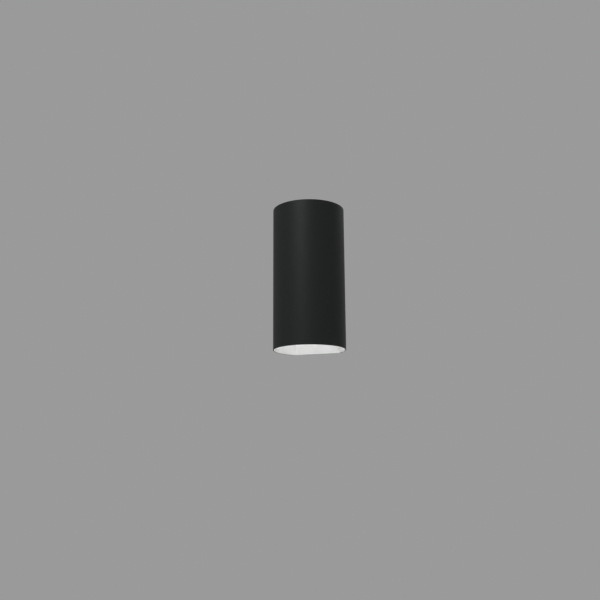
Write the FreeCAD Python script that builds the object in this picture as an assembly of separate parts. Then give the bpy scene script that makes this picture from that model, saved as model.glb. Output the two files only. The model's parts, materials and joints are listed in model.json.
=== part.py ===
"""Tube wall light: a D-section tube that throws light up and down a wall.

Millimetres. The wall is the plane y = 0 and the room is towards -Y. +Z is up, and z = 0 is half
way up the tube. The origin is the middle of the two wall-screw slots, on the wall.

A joggled steel bracket is screwed to the wall and carries two studs. The tube's flat back goes
over the studs and is held by two knurled cap nuts inside it. Half way up, a folded carrier closes
off a wiring bay, and holds a two-pin lampholder above and below with a capsule bulb in each.
"""

import FreeCAD
import Part
import math
import os

V = FreeCAD.Vector
X, Y, Z = V(1, 0, 0), V(0, 1, 0), V(0, 0, 1)

# ---------------------------------------------------------------- driving sizes
# tube
tube_diameter = 100.0
tube_height = 200.0
back_width = 61.6            # of the flat back, to where the round would meet it
tube_wall = 1.2
back_corner_radius = 3.0     # outside, where the round meets the flat
least_corner_radius = 0.2    # of the same corner on an outline set far in
rim_edge_radius = 0.3
seat_clearance = 0.1         # between faces that can part: tube and bracket, tube and washers

# opening in the tube's flat back, for the supply wires
window_width = 36.0
window_height = 30.0
window_corner_radius = 4.0

# wall bracket
bracket_width = 46.0
bracket_length = 150.0
bracket_sheet = 1.2
bracket_projection = 3.5     # wall to the raised ends' front face
bracket_corner_radius = 4.0
bracket_flat_length = 88.0   # the middle stretch, which lies on the wall
bracket_bend_radius = 0.8
bracket_bend_angle = 45.0
wall_slot_spacing = 60.0
wall_slot_width = 5.0
wall_slot_length = 12.0

# raised dish round the cable hole, and the rubber ring in it
dish_height = 1.0
dish_top_diameter = 29.0
dish_foot_diameter = 34.0
cable_hole_diameter = 20.0
grommet_bore = 12.0
grommet_flange_diameter = 25.0
grommet_flange = 0.9
grommet_edge = 0.3

# studs, and the nuts that hold the tube
stud_spacing = 130.0
stud_diameter = 4.0
stud_reach = 8.6             # past the face that the tube rests on
stud_head_diameter = 6.4
stud_head_height = 0.8
stud_tip_chamfer = 0.5
stud_hole_clearance = 0.5    # round the stud, in the tube
stud_slot_length = 8.0       # of the lower hole, which is a slot
nut_washer_diameter = 10.0
nut_washer_thickness = 0.8
nut_diameter = 9.0
nut_height = 9.6
nut_dome_height = 2.2
nut_bore_depth = 8.0
nut_knurls = 24
nut_knurl_depth = 0.35
running_clearance = 0.1      # round a stud, in its nut and washer

# lamp carrier: two D-shaped plates folded from one sheet, joined by a web on the flat back
bay_height = 44.0            # over the outer faces of the two plates
carrier_sheet = 1.0
carrier_bend_radius = 1.0
carrier_clearance = 0.4      # plate edge to tube
carrier_web_margin = 3.8     # web edge inside the flat's edge
carrier_relief_width = 1.5
carrier_relief_depth = 2.0
web_window_margin = 1.0      # web opening past the tube's, on each side
rivet_diameter = 3.2
rivet_head_diameter = 6.0
rivet_head_height = 0.9
rivet_tail_diameter = 4.6
rivet_tail_height = 1.8
rivet_margin = 7.8           # rivet inside the flat's edge
rivet_spacing_z = 26.0

# lampholder
pin_spacing = 9.0
holder_length = 30.0
holder_width = 14.0
holder_height = 16.0
holder_edge = 0.8
boss_edge = 0.4
boss_length = 18.0
boss_width = 11.0
boss_height = 1.5            # above the carrier plate
boss_clearance = 0.3         # in the plate's hole
socket_length = 14.4
socket_width = 8.2
socket_depth = 4.0
pocket_length = 4.2
pocket_width = 3.6
pocket_depth = 11.0
lead_channel_diameter = 2.6
holder_screw_spacing = 24.0
small_screw_diameter = 3.0
small_screw_clearance = 0.2
small_head_diameter = 5.4
small_head_height = 1.9
small_nut_width = 5.5
small_nut_height = 2.2
screw_end = 0.6              # of a screw past its nut
head_rounding = 0.45         # of a screw head's height
rivet_rounding = 0.8         # of a rivet head's height

# contact springs in the lampholder
contact_leaf = 0.3
contact_length = 3.2
contact_height = 8.4
contact_flare = 0.5
contact_clearance = 0.12     # leaf to pin
barrel_diameter = 2.0
barrel_height = 2.0          # barrel centre above the pocket's floor
barrel_inset = 4.4           # barrel end inside the holder's back

# capsule bulb
bulb_seat_clearance = 0.25   # bulb nose to socket floor
nose_clearance = 0.4         # bulb nose to socket wall
pin_wire = 0.9
pin_width = 3.0
pin_length = 7.0
pin_root = 2.0               # of each leg set in the base
nose_height = 5.0
base_height = 13.0
base_diameter = 15.4
cup_depth = 3.0
flare_share = 0.8            # cone height, of the height between nose and cup floor
cup_clearance = 0.1
glass_diameter = 13.6
glass_wall = 0.7
glass_height = 28.5
glass_tip_radius = 1.1
filament_diameter = 1.5
filament_length = 16.0
filament_circle = 6.4
filament_count = 4
filament_rise = 6.0          # bottom of the filaments above the cup's floor
stem_diameter = 2.2
wire_diameter = 0.5

# terminal block and its bracket
pole_pitch = 9.0
block_length = 28.4
block_depth = 10.5
block_height = 16.0
block_rise = 3.5             # its middle above the middle of the bay
block_edge = 1.0
tower_diameter = 6.6
tower_height = 4.5
tower_bore_clearance = 0.2   # round a clamp screw's head
pole_groove = 0.8            # between poles, on the block's front
clamp_screw_diameter = 3.0
clamp_screw_head = 4.6
clamp_screw_head_height = 2.4
clamp_screw_stand = 1.2      # head above the clamp tube when it grips
clamp_bite_clearance = 0.1   # screw tip to core
clamp_screw_spacing = 8.8
open_screw_lift = 0.8        # of the screws on the supply side, which clamp nothing yet
block_screw_head = 4.0
block_screw_head_height = 1.6
clamp_slot_width = 0.6
clamp_slot_depth = 1.0
clamp_tube_diameter = 5.0
clamp_tube_bore = 3.3
clamp_tube_length = 13.6
entry_diameter = 4.2
wire_line = 5.8              # wire centre above the block's foot
block_gap = 9.4              # lampholders' backs to the bracket's face that carries the block
terminal_bracket_width = 20.0
terminal_bracket_stem = 11.0 # below the block, between the leads
terminal_bracket_sheet = 1.0
terminal_bracket_corner = 2.0
terminal_bracket_foot = 12.0
foot_rivet_spacing = 6.2
foot_rivet_setback = 8.5     # rivet line from the bracket's face
foot_rivet_diameter = 2.4
foot_rivet_head = 4.4
foot_rivet_head_height = 0.7

# earth point on the lower plate
earth_x = -28.0
earth_setback = 3.3          # in front of the block's wires
earth_stud_diameter = 4.0
earth_stud_length = 8.0
earth_stud_head = 6.0
earth_stud_head_height = 0.6
earth_ring_diameter = 8.4
earth_ring_thickness = 0.8
earth_barrel_length = 5.0
earth_barrel_wall = 0.4
earth_neck_overlap = 1.0     # of the ring's neck, into the eye
earth_washer_diameter = 7.8
earth_washer_thickness = 0.6
earth_nut_width = 7.0
earth_nut_height = 3.2

# leads
lead_diameter = 1.8
core_diameter = 1.0
core_length = 6.0
lead_spread = 1.9            # between two leads side by side in one entry
lead_entry_depth = 1.0       # of a lead's sleeve in the block
lead_gap = 3.5               # holder's back to the upper leads' line
lead_arc_share = 0.45        # of the shorter run beside a corner, taken by its arc
turn_below_block = 7.0       # where the leads begin to turn up towards the block
turn_slope = 30.0            # degrees, of the run that takes them under it
upper_lead_drop = 9.5        # from the barrels, over which the upper leads spread out
upper_lead_lean = 0.8        # of that run's end, inward
upper_lead_dip = 0.3         # of that run's end, back towards the holder
lower_lead_setback = 1.0     # of the lower leads' line, towards the holder
earth_lead_run = 8.0         # along the plate, before the lead turns up
earth_lead_lean = 2.5        # of its turn, beside the middle pole
earth_lead_dip = 0.8         # of its turn, behind the wires' line
earth_lead_lift = 3.2        # of its turn, above its own line on the plate
earth_turn_below = 6.0       # where it begins to go straight up

# ---------------------------------------------------------------- places worked out from them
tube_radius = tube_diameter / 2
bracket_face_y = -bracket_projection
back_y = bracket_face_y - seat_clearance             # flat back, outside
back_inside_y = back_y - tube_wall
flat_offset = math.sqrt(tube_radius ** 2 - (back_width / 2) ** 2)  # axis to flat back
axis_y = back_y - flat_offset
plate_face = bay_height / 2                          # outer face of the upper plate
plate_under = plate_face - carrier_sheet
boss_face = plate_face + boss_height
socket_floor = boss_face - socket_depth
pocket_floor = socket_floor - pocket_depth
nose_bottom = socket_floor + bulb_seat_clearance
pin_half_gap = pin_wire / 2 + contact_clearance
holder_back_y = axis_y + holder_width / 2
barrel_z = pocket_floor + barrel_height
block_front_y = holder_back_y + block_gap            # foot of the block, on its bracket
block_top_y = block_front_y + block_depth
wire_y = block_front_y + wire_line
nut_seat_y = back_inside_y - seat_clearance          # washer's rear face inside the tube
block_bottom = block_rise - block_height / 2
earth_y = wire_y - earth_setback
carrier_web_width = back_width - 2 * carrier_web_margin
rivet_spacing_x = back_width - 2 * rivet_margin
bay_floor = -plate_under


# ---------------------------------------------------------------- shared shapes
def cylinder(radius, length, start, direction):
    """A round bar from a start point along a direction."""
    return Part.makeCylinder(radius, length, start, direction)


def box(x_size, y_size, z_size, centre):
    """A block given by its sizes and its centre."""
    corner = centre - V(x_size / 2, y_size / 2, z_size / 2)
    return Part.makeBox(x_size, y_size, z_size, corner)


def prism(wire, direction):
    """A closed flat wire pushed along a direction into a solid."""
    return Part.Face(wire).extrude(direction)


def stadium(length, width, centre, along, across):
    """A wire with two straight sides and round ends, long side along one direction."""
    radius = width / 2
    half = length / 2 - radius
    a, b = along * half, across * radius
    end = along * (half + radius)
    top = Part.makeLine(centre - a + b, centre + a + b)
    bottom = Part.makeLine(centre + a - b, centre - a - b)
    right = Part.Arc(centre + a + b, centre + end, centre + a - b).toShape()
    left = Part.Arc(centre - a - b, centre - end, centre - a + b).toShape()
    return Part.Wire([top, right, bottom, left])


def rounded_rectangle(width, height, radius, centre):
    """A wire in the XZ plane with rounded corners."""
    w, h, r = width / 2, height / 2, radius
    k = r * (1 - math.sqrt(0.5))
    edges = []
    corners = [(1, 1), (1, -1), (-1, -1), (-1, 1)]
    for n, (sx, sz) in enumerate(corners):
        over_x = centre + V(sx * (w - r), 0, sz * h)
        over_z = centre + V(sx * w, 0, sz * (h - r))
        first, last = (over_x, over_z) if sx == sz else (over_z, over_x)
        middle = centre + V(sx * (w - k), 0, sz * (h - k))
        edges.append(Part.Arc(first, middle, last).toShape())
        tx, tz = corners[(n + 1) % 4]
        next_x = centre + V(tx * (w - r), 0, tz * h)
        next_z = centre + V(tx * w, 0, tz * (h - r))
        edges.append(Part.makeLine(last, next_x if tx == tz else next_z))
    return Part.Wire(edges)


def hexagon(width, centre, direction, height):
    """A hexagonal nut blank, its width across flats in XZ or XY."""
    radius = width / math.sqrt(3)
    across = V(1, 0, 0)
    other = direction.cross(across)
    points = []
    for n in range(7):
        angle = math.radians(60 * n)
        points.append(centre + across * radius * math.cos(angle) + other * radius * math.sin(angle))
    return prism(Part.makePolygon(points), direction * height)


def d_wire(inset, z):
    """The tube's section, a circle with a flat at the back and rounded corners, inset all round."""
    radius = tube_radius - inset
    flat = flat_offset - inset
    corner = max(back_corner_radius - inset, least_corner_radius)
    corner_x = math.sqrt((radius - corner) ** 2 - (flat - corner) ** 2)
    reach = radius / (radius - corner)
    middle = V(corner_x, axis_y + flat - corner, z)
    on_flat = V(corner_x, axis_y + flat, z)
    on_round = V(corner_x * reach, axis_y + (flat - corner) * reach, z)
    half_turn = (math.pi / 2 + math.atan2(flat - corner, corner_x)) / 2
    between = middle + V(math.cos(half_turn), math.sin(half_turn), 0) * corner
    front = V(0, axis_y - radius, z)

    def mirrored(p):
        return V(-p.x, p.y, p.z)

    return Part.Wire([
        Part.makeLine(mirrored(on_flat), on_flat),
        Part.Arc(on_flat, between, on_round).toShape(),
        Part.Arc(on_round, front, mirrored(on_round)).toShape(),
        Part.Arc(mirrored(on_round), mirrored(between), mirrored(on_flat)).toShape(),
    ])


def turned_over(shape):
    """The same piece fitted upside down: half a turn about the Y axis."""
    copy = shape.copy()
    copy.rotate(V(0, 0, 0), Y, 180)
    return copy


def fillet_at(solid, radius, wanted):
    """Rounds the edges that a test picks out."""
    return solid.makeFillet(radius, [e for e in solid.Edges if wanted(e)])


def rim_at(point):
    """A test for the round edge whose centre is at one point."""
    def wanted(edge):
        return (edge.CenterOfMass - point).Length < 1e-3
    return wanted


def edges_on_z(z):
    """A test for edges that lie in the plane at one height."""
    def wanted(edge):
        box_ = edge.BoundBox
        return abs(box_.ZMin - z) < 1e-4 and abs(box_.ZMax - z) < 1e-4
    return wanted


def pan_screw(head_centre, inward, diameter, length, head, head_height):
    """A pan-head screw whose head stands on a seat, with its shank going inward."""
    out = inward * -1
    body = cylinder(head / 2, head_height, head_centre, out)
    rim = head_centre + out * head_height
    body = fillet_at(body, head_height * head_rounding, rim_at(rim))
    return body.fuse(cylinder(diameter / 2, length, head_centre, inward)).removeSplitter()


def lead_path(points):
    """Straight runs joined by the largest tangent arcs that they allow."""
    edges, here, radii = [], points[0], []
    for before, corner, after in zip(points, points[1:], points[2:]):
        back, on = (before - corner), (after - corner)
        shorter = min(back.Length, on.Length)
        back.normalize()
        on.normalize()
        turn = math.pi - back.getAngle(on)
        step = lead_arc_share * shorter
        start, end = corner + back * step, corner + on * step
        bisector = back + on
        bisector.normalize()
        radius = step / math.tan(turn / 2)
        to_middle = radius / math.cos(turn / 2) - radius
        edges.append(Part.makeLine(here, start))
        edges.append(Part.Arc(start, corner + bisector * to_middle, end).toShape())
        here = end
        radii.append(round(radius, 1))
    edges.append(Part.makeLine(here, points[-1]))
    return Part.Wire(edges), radii


def lead(name, points):
    """A lead along a route, with its bared core going on up into the clamp past the last point."""
    path, radii = lead_path(points)
    start = points[0]
    first = points[1] - start
    ring = Part.Wire(Part.makeCircle(lead_diameter / 2, start, first))
    sleeve = path.makePipeShell([ring], True, False)
    section = math.pi * lead_diameter ** 2 / 4
    by_length = section * path.Length
    print(f"{name}: bend radii {radii} mm, volume {sleeve.Volume:.1f}, by length {by_length:.1f}")
    core = cylinder(core_diameter / 2, core_length, points[-1], Z)
    return sleeve.fuse(core).removeSplitter()


# ---------------------------------------------------------------- tube
def make_shade_tube():
    outer = prism(d_wire(0, -tube_height / 2), Z * tube_height)
    inner = prism(d_wire(tube_wall, -tube_height / 2), Z * tube_height)
    tube = outer.cut(inner)
    for end in (tube_height / 2, -tube_height / 2):
        tube = fillet_at(tube, rim_edge_radius, edges_on_z(end))
    through = Y * -(tube_wall * 3)
    start_y = back_y + tube_wall
    window = rounded_rectangle(window_width, window_height, window_corner_radius, V(0, start_y, 0))
    cuts = [prism(window, through)]
    hole = stud_diameter / 2 + stud_hole_clearance
    cuts.append(cylinder(hole, tube_wall * 3, V(0, start_y, stud_spacing / 2), Y * -1))
    lower = V(0, start_y, -stud_spacing / 2)
    cuts.append(prism(stadium(stud_slot_length, hole * 2, lower, Z, X), through))
    for x, z in rivet_places():
        cuts.append(cylinder(rivet_diameter / 2, tube_wall * 3, V(x, start_y, z), Y * -1))
    return tube.cut(cuts)


def rivet_places():
    """The four rivets that hold the carrier to the flat back."""
    return [(sx * rivet_spacing_x / 2, sz * rivet_spacing_z / 2) for sx in (-1, 1) for sz in (-1, 1)]


# ---------------------------------------------------------------- wall bracket
def joggle_side():
    """The bracket's side profile in the YZ plane: flat on the wall, then raised at both ends."""
    rise = bracket_projection - bracket_sheet
    flat = bracket_flat_length / 2
    end = bracket_length / 2
    step_end = flat + rise / math.tan(math.radians(bracket_bend_angle))
    skew = bracket_sheet * math.tan(math.radians(bracket_bend_angle / 2))
    raised = -rise - bracket_sheet
    half = [
        (0, flat), (-rise, step_end), (-rise, end),
        (raised, end), (raised, step_end - skew), (-bracket_sheet, flat - skew),
    ]
    points = half + [(y, -z) for y, z in reversed(half)]
    return Part.makePolygon([V(-bracket_width / 2, y, z) for y, z in points + points[:1]])


def make_wall_bracket():
    strip = prism(joggle_side(), X * bracket_width)

    def bend_line(edge):
        size = edge.BoundBox
        middle = edge.CenterOfMass
        return size.XLength > bracket_width * 0.9 and abs(middle.z) < bracket_length / 2 - 1

    strip = fillet_at(strip, bracket_bend_radius, bend_line)
    outline = rounded_rectangle(bracket_width, bracket_length, bracket_corner_radius, V(0, 1, 0))
    deep = bracket_projection * 3
    strip = strip.common(prism(outline, Y * -deep))

    strip = strip.cut(cylinder(dish_foot_diameter / 2, deep, V(0, deep / 2, 0), Y * -1))
    foot, top, hole = dish_foot_diameter / 2, dish_top_diameter / 2, cable_hole_diameter / 2
    rise, sheet = dish_height, bracket_sheet
    front = -rise - sheet
    ring = [(foot, 0), (foot, -sheet), (top, front), (hole, front), (hole, -rise), (top, -rise)]
    section = Part.makePolygon([V(r, y, 0) for r, y in ring + ring[:1]])
    dish = Part.Face(section).revolve(V(0, 0, 0), Y, 360)
    strip = strip.fuse(dish)

    cuts = []
    for side in (-1, 1):
        slot = stadium(wall_slot_length, wall_slot_width, V(0, 1, side * wall_slot_spacing / 2), Z, X)
        cuts.append(prism(slot, Y * -deep))
        stud = V(0, bracket_face_y + bracket_sheet, side * stud_spacing / 2)
        cuts.append(cylinder(stud_diameter / 2, bracket_sheet, stud, Y * -1))
        cuts.append(cylinder(stud_head_diameter / 2, stud_head_height, stud, Y * -1))
    return strip.cut(cuts).removeSplitter()


def make_bracket_studs():
    studs = []
    for side in (-1, 1):
        root = V(0, bracket_face_y + bracket_sheet, side * stud_spacing / 2)
        shank = cylinder(stud_diameter / 2, bracket_sheet + stud_reach, root, Y * -1)
        tip = root + Y * -(bracket_sheet + stud_reach)
        shank = shank.makeChamfer(stud_tip_chamfer, list(filter(rim_at(tip), shank.Edges)))
        head = cylinder(stud_head_diameter / 2, stud_head_height, root, Y * -1)
        studs.append(shank.fuse(head).removeSplitter())
    return Part.makeCompound(studs)


def make_cable_grommet():
    """A rubber ring whose groove grips the edge of the cable hole."""
    bore, groove, flange = grommet_bore / 2, cable_hole_diameter / 2, grommet_flange_diameter / 2
    soft = flange - grommet_edge
    rear = -dish_height
    front = rear - bracket_sheet
    back_end, front_end = rear + grommet_flange, front - grommet_flange
    profile = [
        (bore, back_end), (soft, back_end), (flange, back_end - grommet_edge), (flange, rear),
        (groove, rear), (groove, front), (flange, front), (flange, front_end + grommet_edge),
        (soft, front_end), (bore, front_end),
    ]
    section = Part.makePolygon([V(r, y, 0) for r, y in profile + profile[:1]])
    return Part.Face(section).revolve(V(0, 0, 0), Y, 360)


# ---------------------------------------------------------------- cap nuts
def make_nut_washer(z):
    seat = V(0, nut_seat_y, z)
    disc = cylinder(nut_washer_diameter / 2, nut_washer_thickness, seat, Y * -1)
    hole = cylinder(stud_diameter / 2 + running_clearance, nut_washer_thickness, seat, Y * -1)
    return disc.cut(hole)


def make_cap_nut(z):
    """A knurled nut with a domed end, closed over the stud."""
    seat = V(0, nut_seat_y - nut_washer_thickness, z)
    grip = nut_height - nut_dome_height
    outer = nut_diameter / 2
    points = []
    for n in range(2 * nut_knurls + 1):
        radius = outer if n % 2 else outer - nut_knurl_depth
        angle = math.pi * n / nut_knurls
        points.append(seat + V(radius * math.cos(angle), 0, radius * math.sin(angle)))
    knurled = prism(Part.makePolygon(points), Y * -grip)
    lead_in = Part.makeCone(outer - nut_knurl_depth, outer - nut_knurl_depth + grip, grip, seat, Y * -1)
    knurled = knurled.common(lead_in)
    shoulder = seat + Y * -grip
    neck = outer - nut_knurl_depth * 2
    sphere_radius = (neck ** 2 + nut_dome_height ** 2) / (2 * nut_dome_height)
    ball = Part.makeSphere(sphere_radius, shoulder + Y * (sphere_radius - nut_dome_height))
    dome = ball.common(cylinder(neck, nut_dome_height + 1, shoulder, Y * -1))
    bore = cylinder(stud_diameter / 2 + running_clearance, nut_bore_depth, seat, Y * -1)
    return knurled.fuse(dome).cut(bore).removeSplitter()


# ---------------------------------------------------------------- lamp carrier
def make_lamp_carrier():
    inset = tube_wall + carrier_clearance
    bend = carrier_bend_radius + carrier_sheet
    tangent_y = back_inside_y - bend
    half = carrier_web_width / 2
    web_z = plate_face - bend
    carrier = box(carrier_web_width, carrier_sheet, 2 * web_z, V(0, back_inside_y - carrier_sheet / 2, 0))
    for side in (1, -1):
        low = plate_under if side > 0 else -plate_face
        plate = prism(d_wire(inset, low), Z * carrier_sheet)
        strip_depth = bend + carrier_relief_depth
        notch = 2 * half + 2 * carrier_relief_width
        notch_centre = V(0, back_inside_y - strip_depth / 2, side * plate_face)
        plate = plate.cut(box(notch, strip_depth, 4 * carrier_sheet, notch_centre))
        tongue_y = tangent_y - carrier_relief_depth / 2
        tongue = box(carrier_web_width, carrier_relief_depth, carrier_sheet,
                     V(0, tongue_y, side * (plate_face - carrier_sheet / 2)))
        hub = V(-half, tangent_y, side * web_z)
        bent = cylinder(bend, carrier_web_width, hub, X)
        bent = bent.cut(cylinder(carrier_bend_radius, carrier_web_width, hub, X))
        quarter = box(carrier_web_width, bend, bend, V(0, tangent_y + bend / 2, side * (web_z + bend / 2)))
        carrier = carrier.fuse([plate, tongue, bent.common(quarter)])
    carrier = carrier.removeSplitter()

    cuts = []
    opening = rounded_rectangle(window_width + 2 * web_window_margin, window_height + 2 * web_window_margin,
                                window_corner_radius + web_window_margin, V(0, back_inside_y + 1, 0))
    cuts.append(prism(opening, Y * -(carrier_sheet + 2)))
    for x, z in rivet_places():
        cuts.append(cylinder(rivet_diameter / 2, carrier_sheet + 2, V(x, back_inside_y + 1, z), Y * -1))
    for side in (1, -1):
        low = V(0, axis_y, side * plate_face - 2)
        boss = stadium(boss_length + 2 * boss_clearance, boss_width + 2 * boss_clearance, low, X, Y)
        cuts.append(prism(boss, Z * 4))
        for sx in (-1, 1):
            spot = V(sx * holder_screw_spacing / 2, axis_y, side * plate_face - 2)
            cuts.append(cylinder(small_screw_diameter / 2 + small_screw_clearance, 4, spot, Z))
    for x in (-foot_rivet_spacing / 2, foot_rivet_spacing / 2):
        cuts.append(cylinder(foot_rivet_diameter / 2, 4, V(x, foot_rivet_y(), -plate_face - 1), Z))
    spot = V(earth_x, earth_y, -plate_face)
    cuts.append(cylinder(earth_stud_diameter / 2, 4, spot, Z))
    cuts.append(cylinder(earth_stud_head / 2, earth_stud_head_height, spot, Z))
    return carrier.cut(cuts)


def foot_rivet_y():
    """The line of the two rivets through the terminal bracket's foot."""
    return block_front_y + foot_rivet_setback


def make_carrier_rivets():
    """Blind rivets: a domed head outside the tube, and a set tail inside the web."""
    rivets = []
    for x, z in rivet_places():
        outside = V(x, back_y, z)
        grip = tube_wall + carrier_sheet
        head = cylinder(rivet_head_diameter / 2, rivet_head_height, outside, Y)
        top = outside + Y * rivet_head_height
        head = fillet_at(head, rivet_head_height * rivet_rounding, rim_at(top))
        shank = cylinder(rivet_diameter / 2, grip + rivet_tail_height, outside, Y * -1)
        tail = cylinder(rivet_tail_diameter / 2, rivet_tail_height, outside + Y * -grip, Y * -1)
        rivets.append(head.fuse([shank, tail]).removeSplitter())
    return Part.makeCompound(rivets)


# ---------------------------------------------------------------- lampholder, upper one
def make_holder_body():
    """A ceramic block under the plate, with a boss that comes up through it."""
    foot = V(0, axis_y, plate_under - holder_height)
    body = prism(stadium(holder_length, holder_width, foot, X, Y), Z * holder_height)
    body = fillet_at(body, holder_edge, edges_on_z(foot.z))
    boss_outline = stadium(boss_length, boss_width, V(0, axis_y, plate_under), X, Y)
    boss = prism(boss_outline, Z * (boss_face - plate_under))
    boss = fillet_at(boss, boss_edge, edges_on_z(boss_face))
    body = body.fuse(boss)
    socket = stadium(socket_length, socket_width, V(0, axis_y, socket_floor), X, Y)
    cuts = [prism(socket, Z * (socket_depth + 1))]
    for side in (-1, 1):
        x = side * pin_spacing / 2
        pocket_z = pocket_floor + (pocket_depth + 1) / 2
        cuts.append(box(pocket_length, pocket_width, pocket_depth + 1, V(x, axis_y, pocket_z)))
        cuts.append(cylinder(lead_channel_diameter / 2, holder_width / 2 + 1, V(x, axis_y, barrel_z), Y))
        screw = V(side * holder_screw_spacing / 2, axis_y, foot.z - 1)
        cuts.append(cylinder(small_screw_diameter / 2 + small_screw_clearance, holder_height + 2, screw, Z))
    return body.cut(cuts)


def make_holder_contacts():
    """Two bronze forks, each gripping one pin, with a crimp barrel for its lead."""
    contacts = []
    low = pocket_floor
    high = low + contact_height
    gap, leaf = pin_half_gap, contact_leaf
    lip = high + 2 * contact_flare
    for side in (-1, 1):
        x = side * pin_spacing / 2 - contact_length / 2
        outline = [
            (-gap - leaf, low), (gap + leaf, low), (gap + leaf, high),
            (gap + leaf + contact_flare, lip), (gap + contact_flare, lip),
            (gap, high), (gap, low + leaf), (-gap, low + leaf), (-gap, high),
            (-gap - contact_flare, lip), (-gap - leaf - contact_flare, lip), (-gap - leaf, high),
        ]
        wire = Part.makePolygon([V(x, axis_y + y, z) for y, z in outline + outline[:1]])
        fork = prism(wire, X * contact_length)
        start = V(side * pin_spacing / 2, axis_y + gap, barrel_z)
        barrel = cylinder(barrel_diameter / 2, barrel_end_y() - start.y, start, Y)
        contacts.append(fork.fuse(barrel).removeSplitter())
    return Part.makeCompound(contacts)


def barrel_end_y():
    """Where a contact's barrel ends and its lead begins, inside the holder."""
    return holder_back_y - barrel_inset


def holder_screw_spots(side):
    """The two screw places of the upper (1) or lower (-1) lampholder, on its plate's outer face."""
    return [V(sx * holder_screw_spacing / 2, axis_y, side * plate_face) for sx in (-1, 1)]


def make_holder_screws():
    length = carrier_sheet + holder_height + small_nut_height + screw_end
    screws = []
    for side in (1, -1):
        for spot in holder_screw_spots(side):
            screws.append(pan_screw(spot, Z * -side, small_screw_diameter, length,
                                    small_head_diameter, small_head_height))
    return Part.makeCompound(screws)


def make_holder_nuts():
    nuts = []
    for side in (1, -1):
        for spot in holder_screw_spots(side):
            seat = V(spot.x, spot.y, side * (plate_under - holder_height))
            blank = hexagon(small_nut_width, seat, Z * -side, small_nut_height)
            hole = cylinder(small_screw_diameter / 2, small_nut_height, seat, Z * -side)
            nuts.append(blank.cut(hole))
    return Part.makeCompound(nuts)


# ---------------------------------------------------------------- capsule bulb, upper one
def cup_floor():
    return nose_bottom + base_height - cup_depth


def make_bulb_base():
    """A moulded base: an oval nose for the socket, and a cone up to the round cup for the glass."""
    nose_length = socket_length - 2 * nose_clearance
    nose_width = socket_width - 2 * nose_clearance
    nose_top = nose_bottom + nose_height
    nose_rise = base_height - cup_depth
    nose = prism(stadium(nose_length, nose_width, V(0, axis_y, nose_bottom), X, Y), Z * nose_rise)
    flare_height = (cup_floor() - nose_top) * flare_share
    flare_top = nose_top + flare_height
    flare = Part.makeCone(nose_width / 2, base_diameter / 2, flare_height, V(0, axis_y, nose_top), Z)
    cup_top = cup_floor() + cup_depth
    cup = cylinder(base_diameter / 2, cup_top - flare_top, V(0, axis_y, flare_top), Z)
    body = nose.fuse([flare, cup])
    seat_radius = glass_diameter / 2 + cup_clearance
    cuts = [cylinder(seat_radius, cup_depth + 1, V(0, axis_y, cup_floor()), Z)]
    cuts += [cylinder(pin_wire / 2, pin_root, V(x, axis_y, nose_bottom), Z) for x in pin_legs()]
    return body.cut(cuts)


def pin_legs():
    """The x of each leg of the two wire loops."""
    spread = (pin_width - pin_wire) / 2
    return [side * pin_spacing / 2 + leg * spread for side in (-1, 1) for leg in (-1, 1)]


def make_bulb_pins():
    """Two loops of wire, each bent to a U, with both legs set in the base."""
    loops = []
    spread = (pin_width - pin_wire) / 2
    for side in (-1, 1):
        x = side * pin_spacing / 2
        top = nose_bottom + pin_root
        bend_z = nose_bottom - pin_length + pin_wire / 2 + spread
        left, right = V(x - spread, axis_y, bend_z), V(x + spread, axis_y, bend_z)
        path = Part.Wire([
            Part.makeLine(V(left.x, axis_y, top), left),
            Part.Arc(left, V(x, axis_y, bend_z - spread), right).toShape(),
            Part.makeLine(right, V(right.x, axis_y, top)),
        ])
        ring = Part.Wire(Part.makeCircle(pin_wire / 2, V(x - spread, axis_y, top), Z))
        loops.append(path.makePipeShell([ring], True, False))
    return Part.makeCompound(loops)


def make_bulb_glass():
    """A thin glass capsule, open where it sits in its cup, with the sealing tip on its crown."""
    low = cup_floor()
    outer = glass_diameter / 2
    inner = outer - glass_wall
    crown = low + glass_height
    shoulder = crown - outer

    def quarter_way(radius):
        return V(radius * math.sqrt(0.5), 0, shoulder + radius * math.sqrt(0.5))

    outer_foot, outer_top = V(outer, 0, low), V(outer, 0, shoulder)
    inner_foot, inner_top = V(inner, 0, low), V(inner, 0, shoulder)
    pole, inner_pole = V(0, 0, crown), V(0, 0, crown - glass_wall)
    section = Part.Wire([
        Part.makeLine(inner_foot, outer_foot),
        Part.makeLine(outer_foot, outer_top),
        Part.Arc(outer_top, quarter_way(outer), pole).toShape(),
        Part.makeLine(pole, inner_pole),
        Part.Arc(inner_pole, quarter_way(inner), inner_top).toShape(),
        Part.makeLine(inner_top, inner_foot),
    ])
    shell = Part.Face(section).revolve(V(0, 0, 0), Z, 360)
    tip = Part.makeSphere(glass_tip_radius, V(0, 0, crown))
    hollow = Part.makeSphere(inner, V(0, 0, shoulder))
    glass = shell.fuse(tip.cut(hollow)).removeSplitter()
    glass.translate(V(0, axis_y, 0))
    return glass


def filament_spots():
    """The foot of each filament, on its circle."""
    spots = []
    centre = V(0, axis_y, cup_floor() + filament_rise)
    for n in range(filament_count):
        angle = 2 * math.pi * (n + 0.5) / filament_count
        spots.append(centre + V(math.cos(angle), math.sin(angle), 0) * (filament_circle / 2))
    return spots


def make_bulb_filaments():
    radius = filament_diameter / 2
    return Part.makeCompound([cylinder(radius, filament_length, spot, Z) for spot in filament_spots()])


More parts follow.
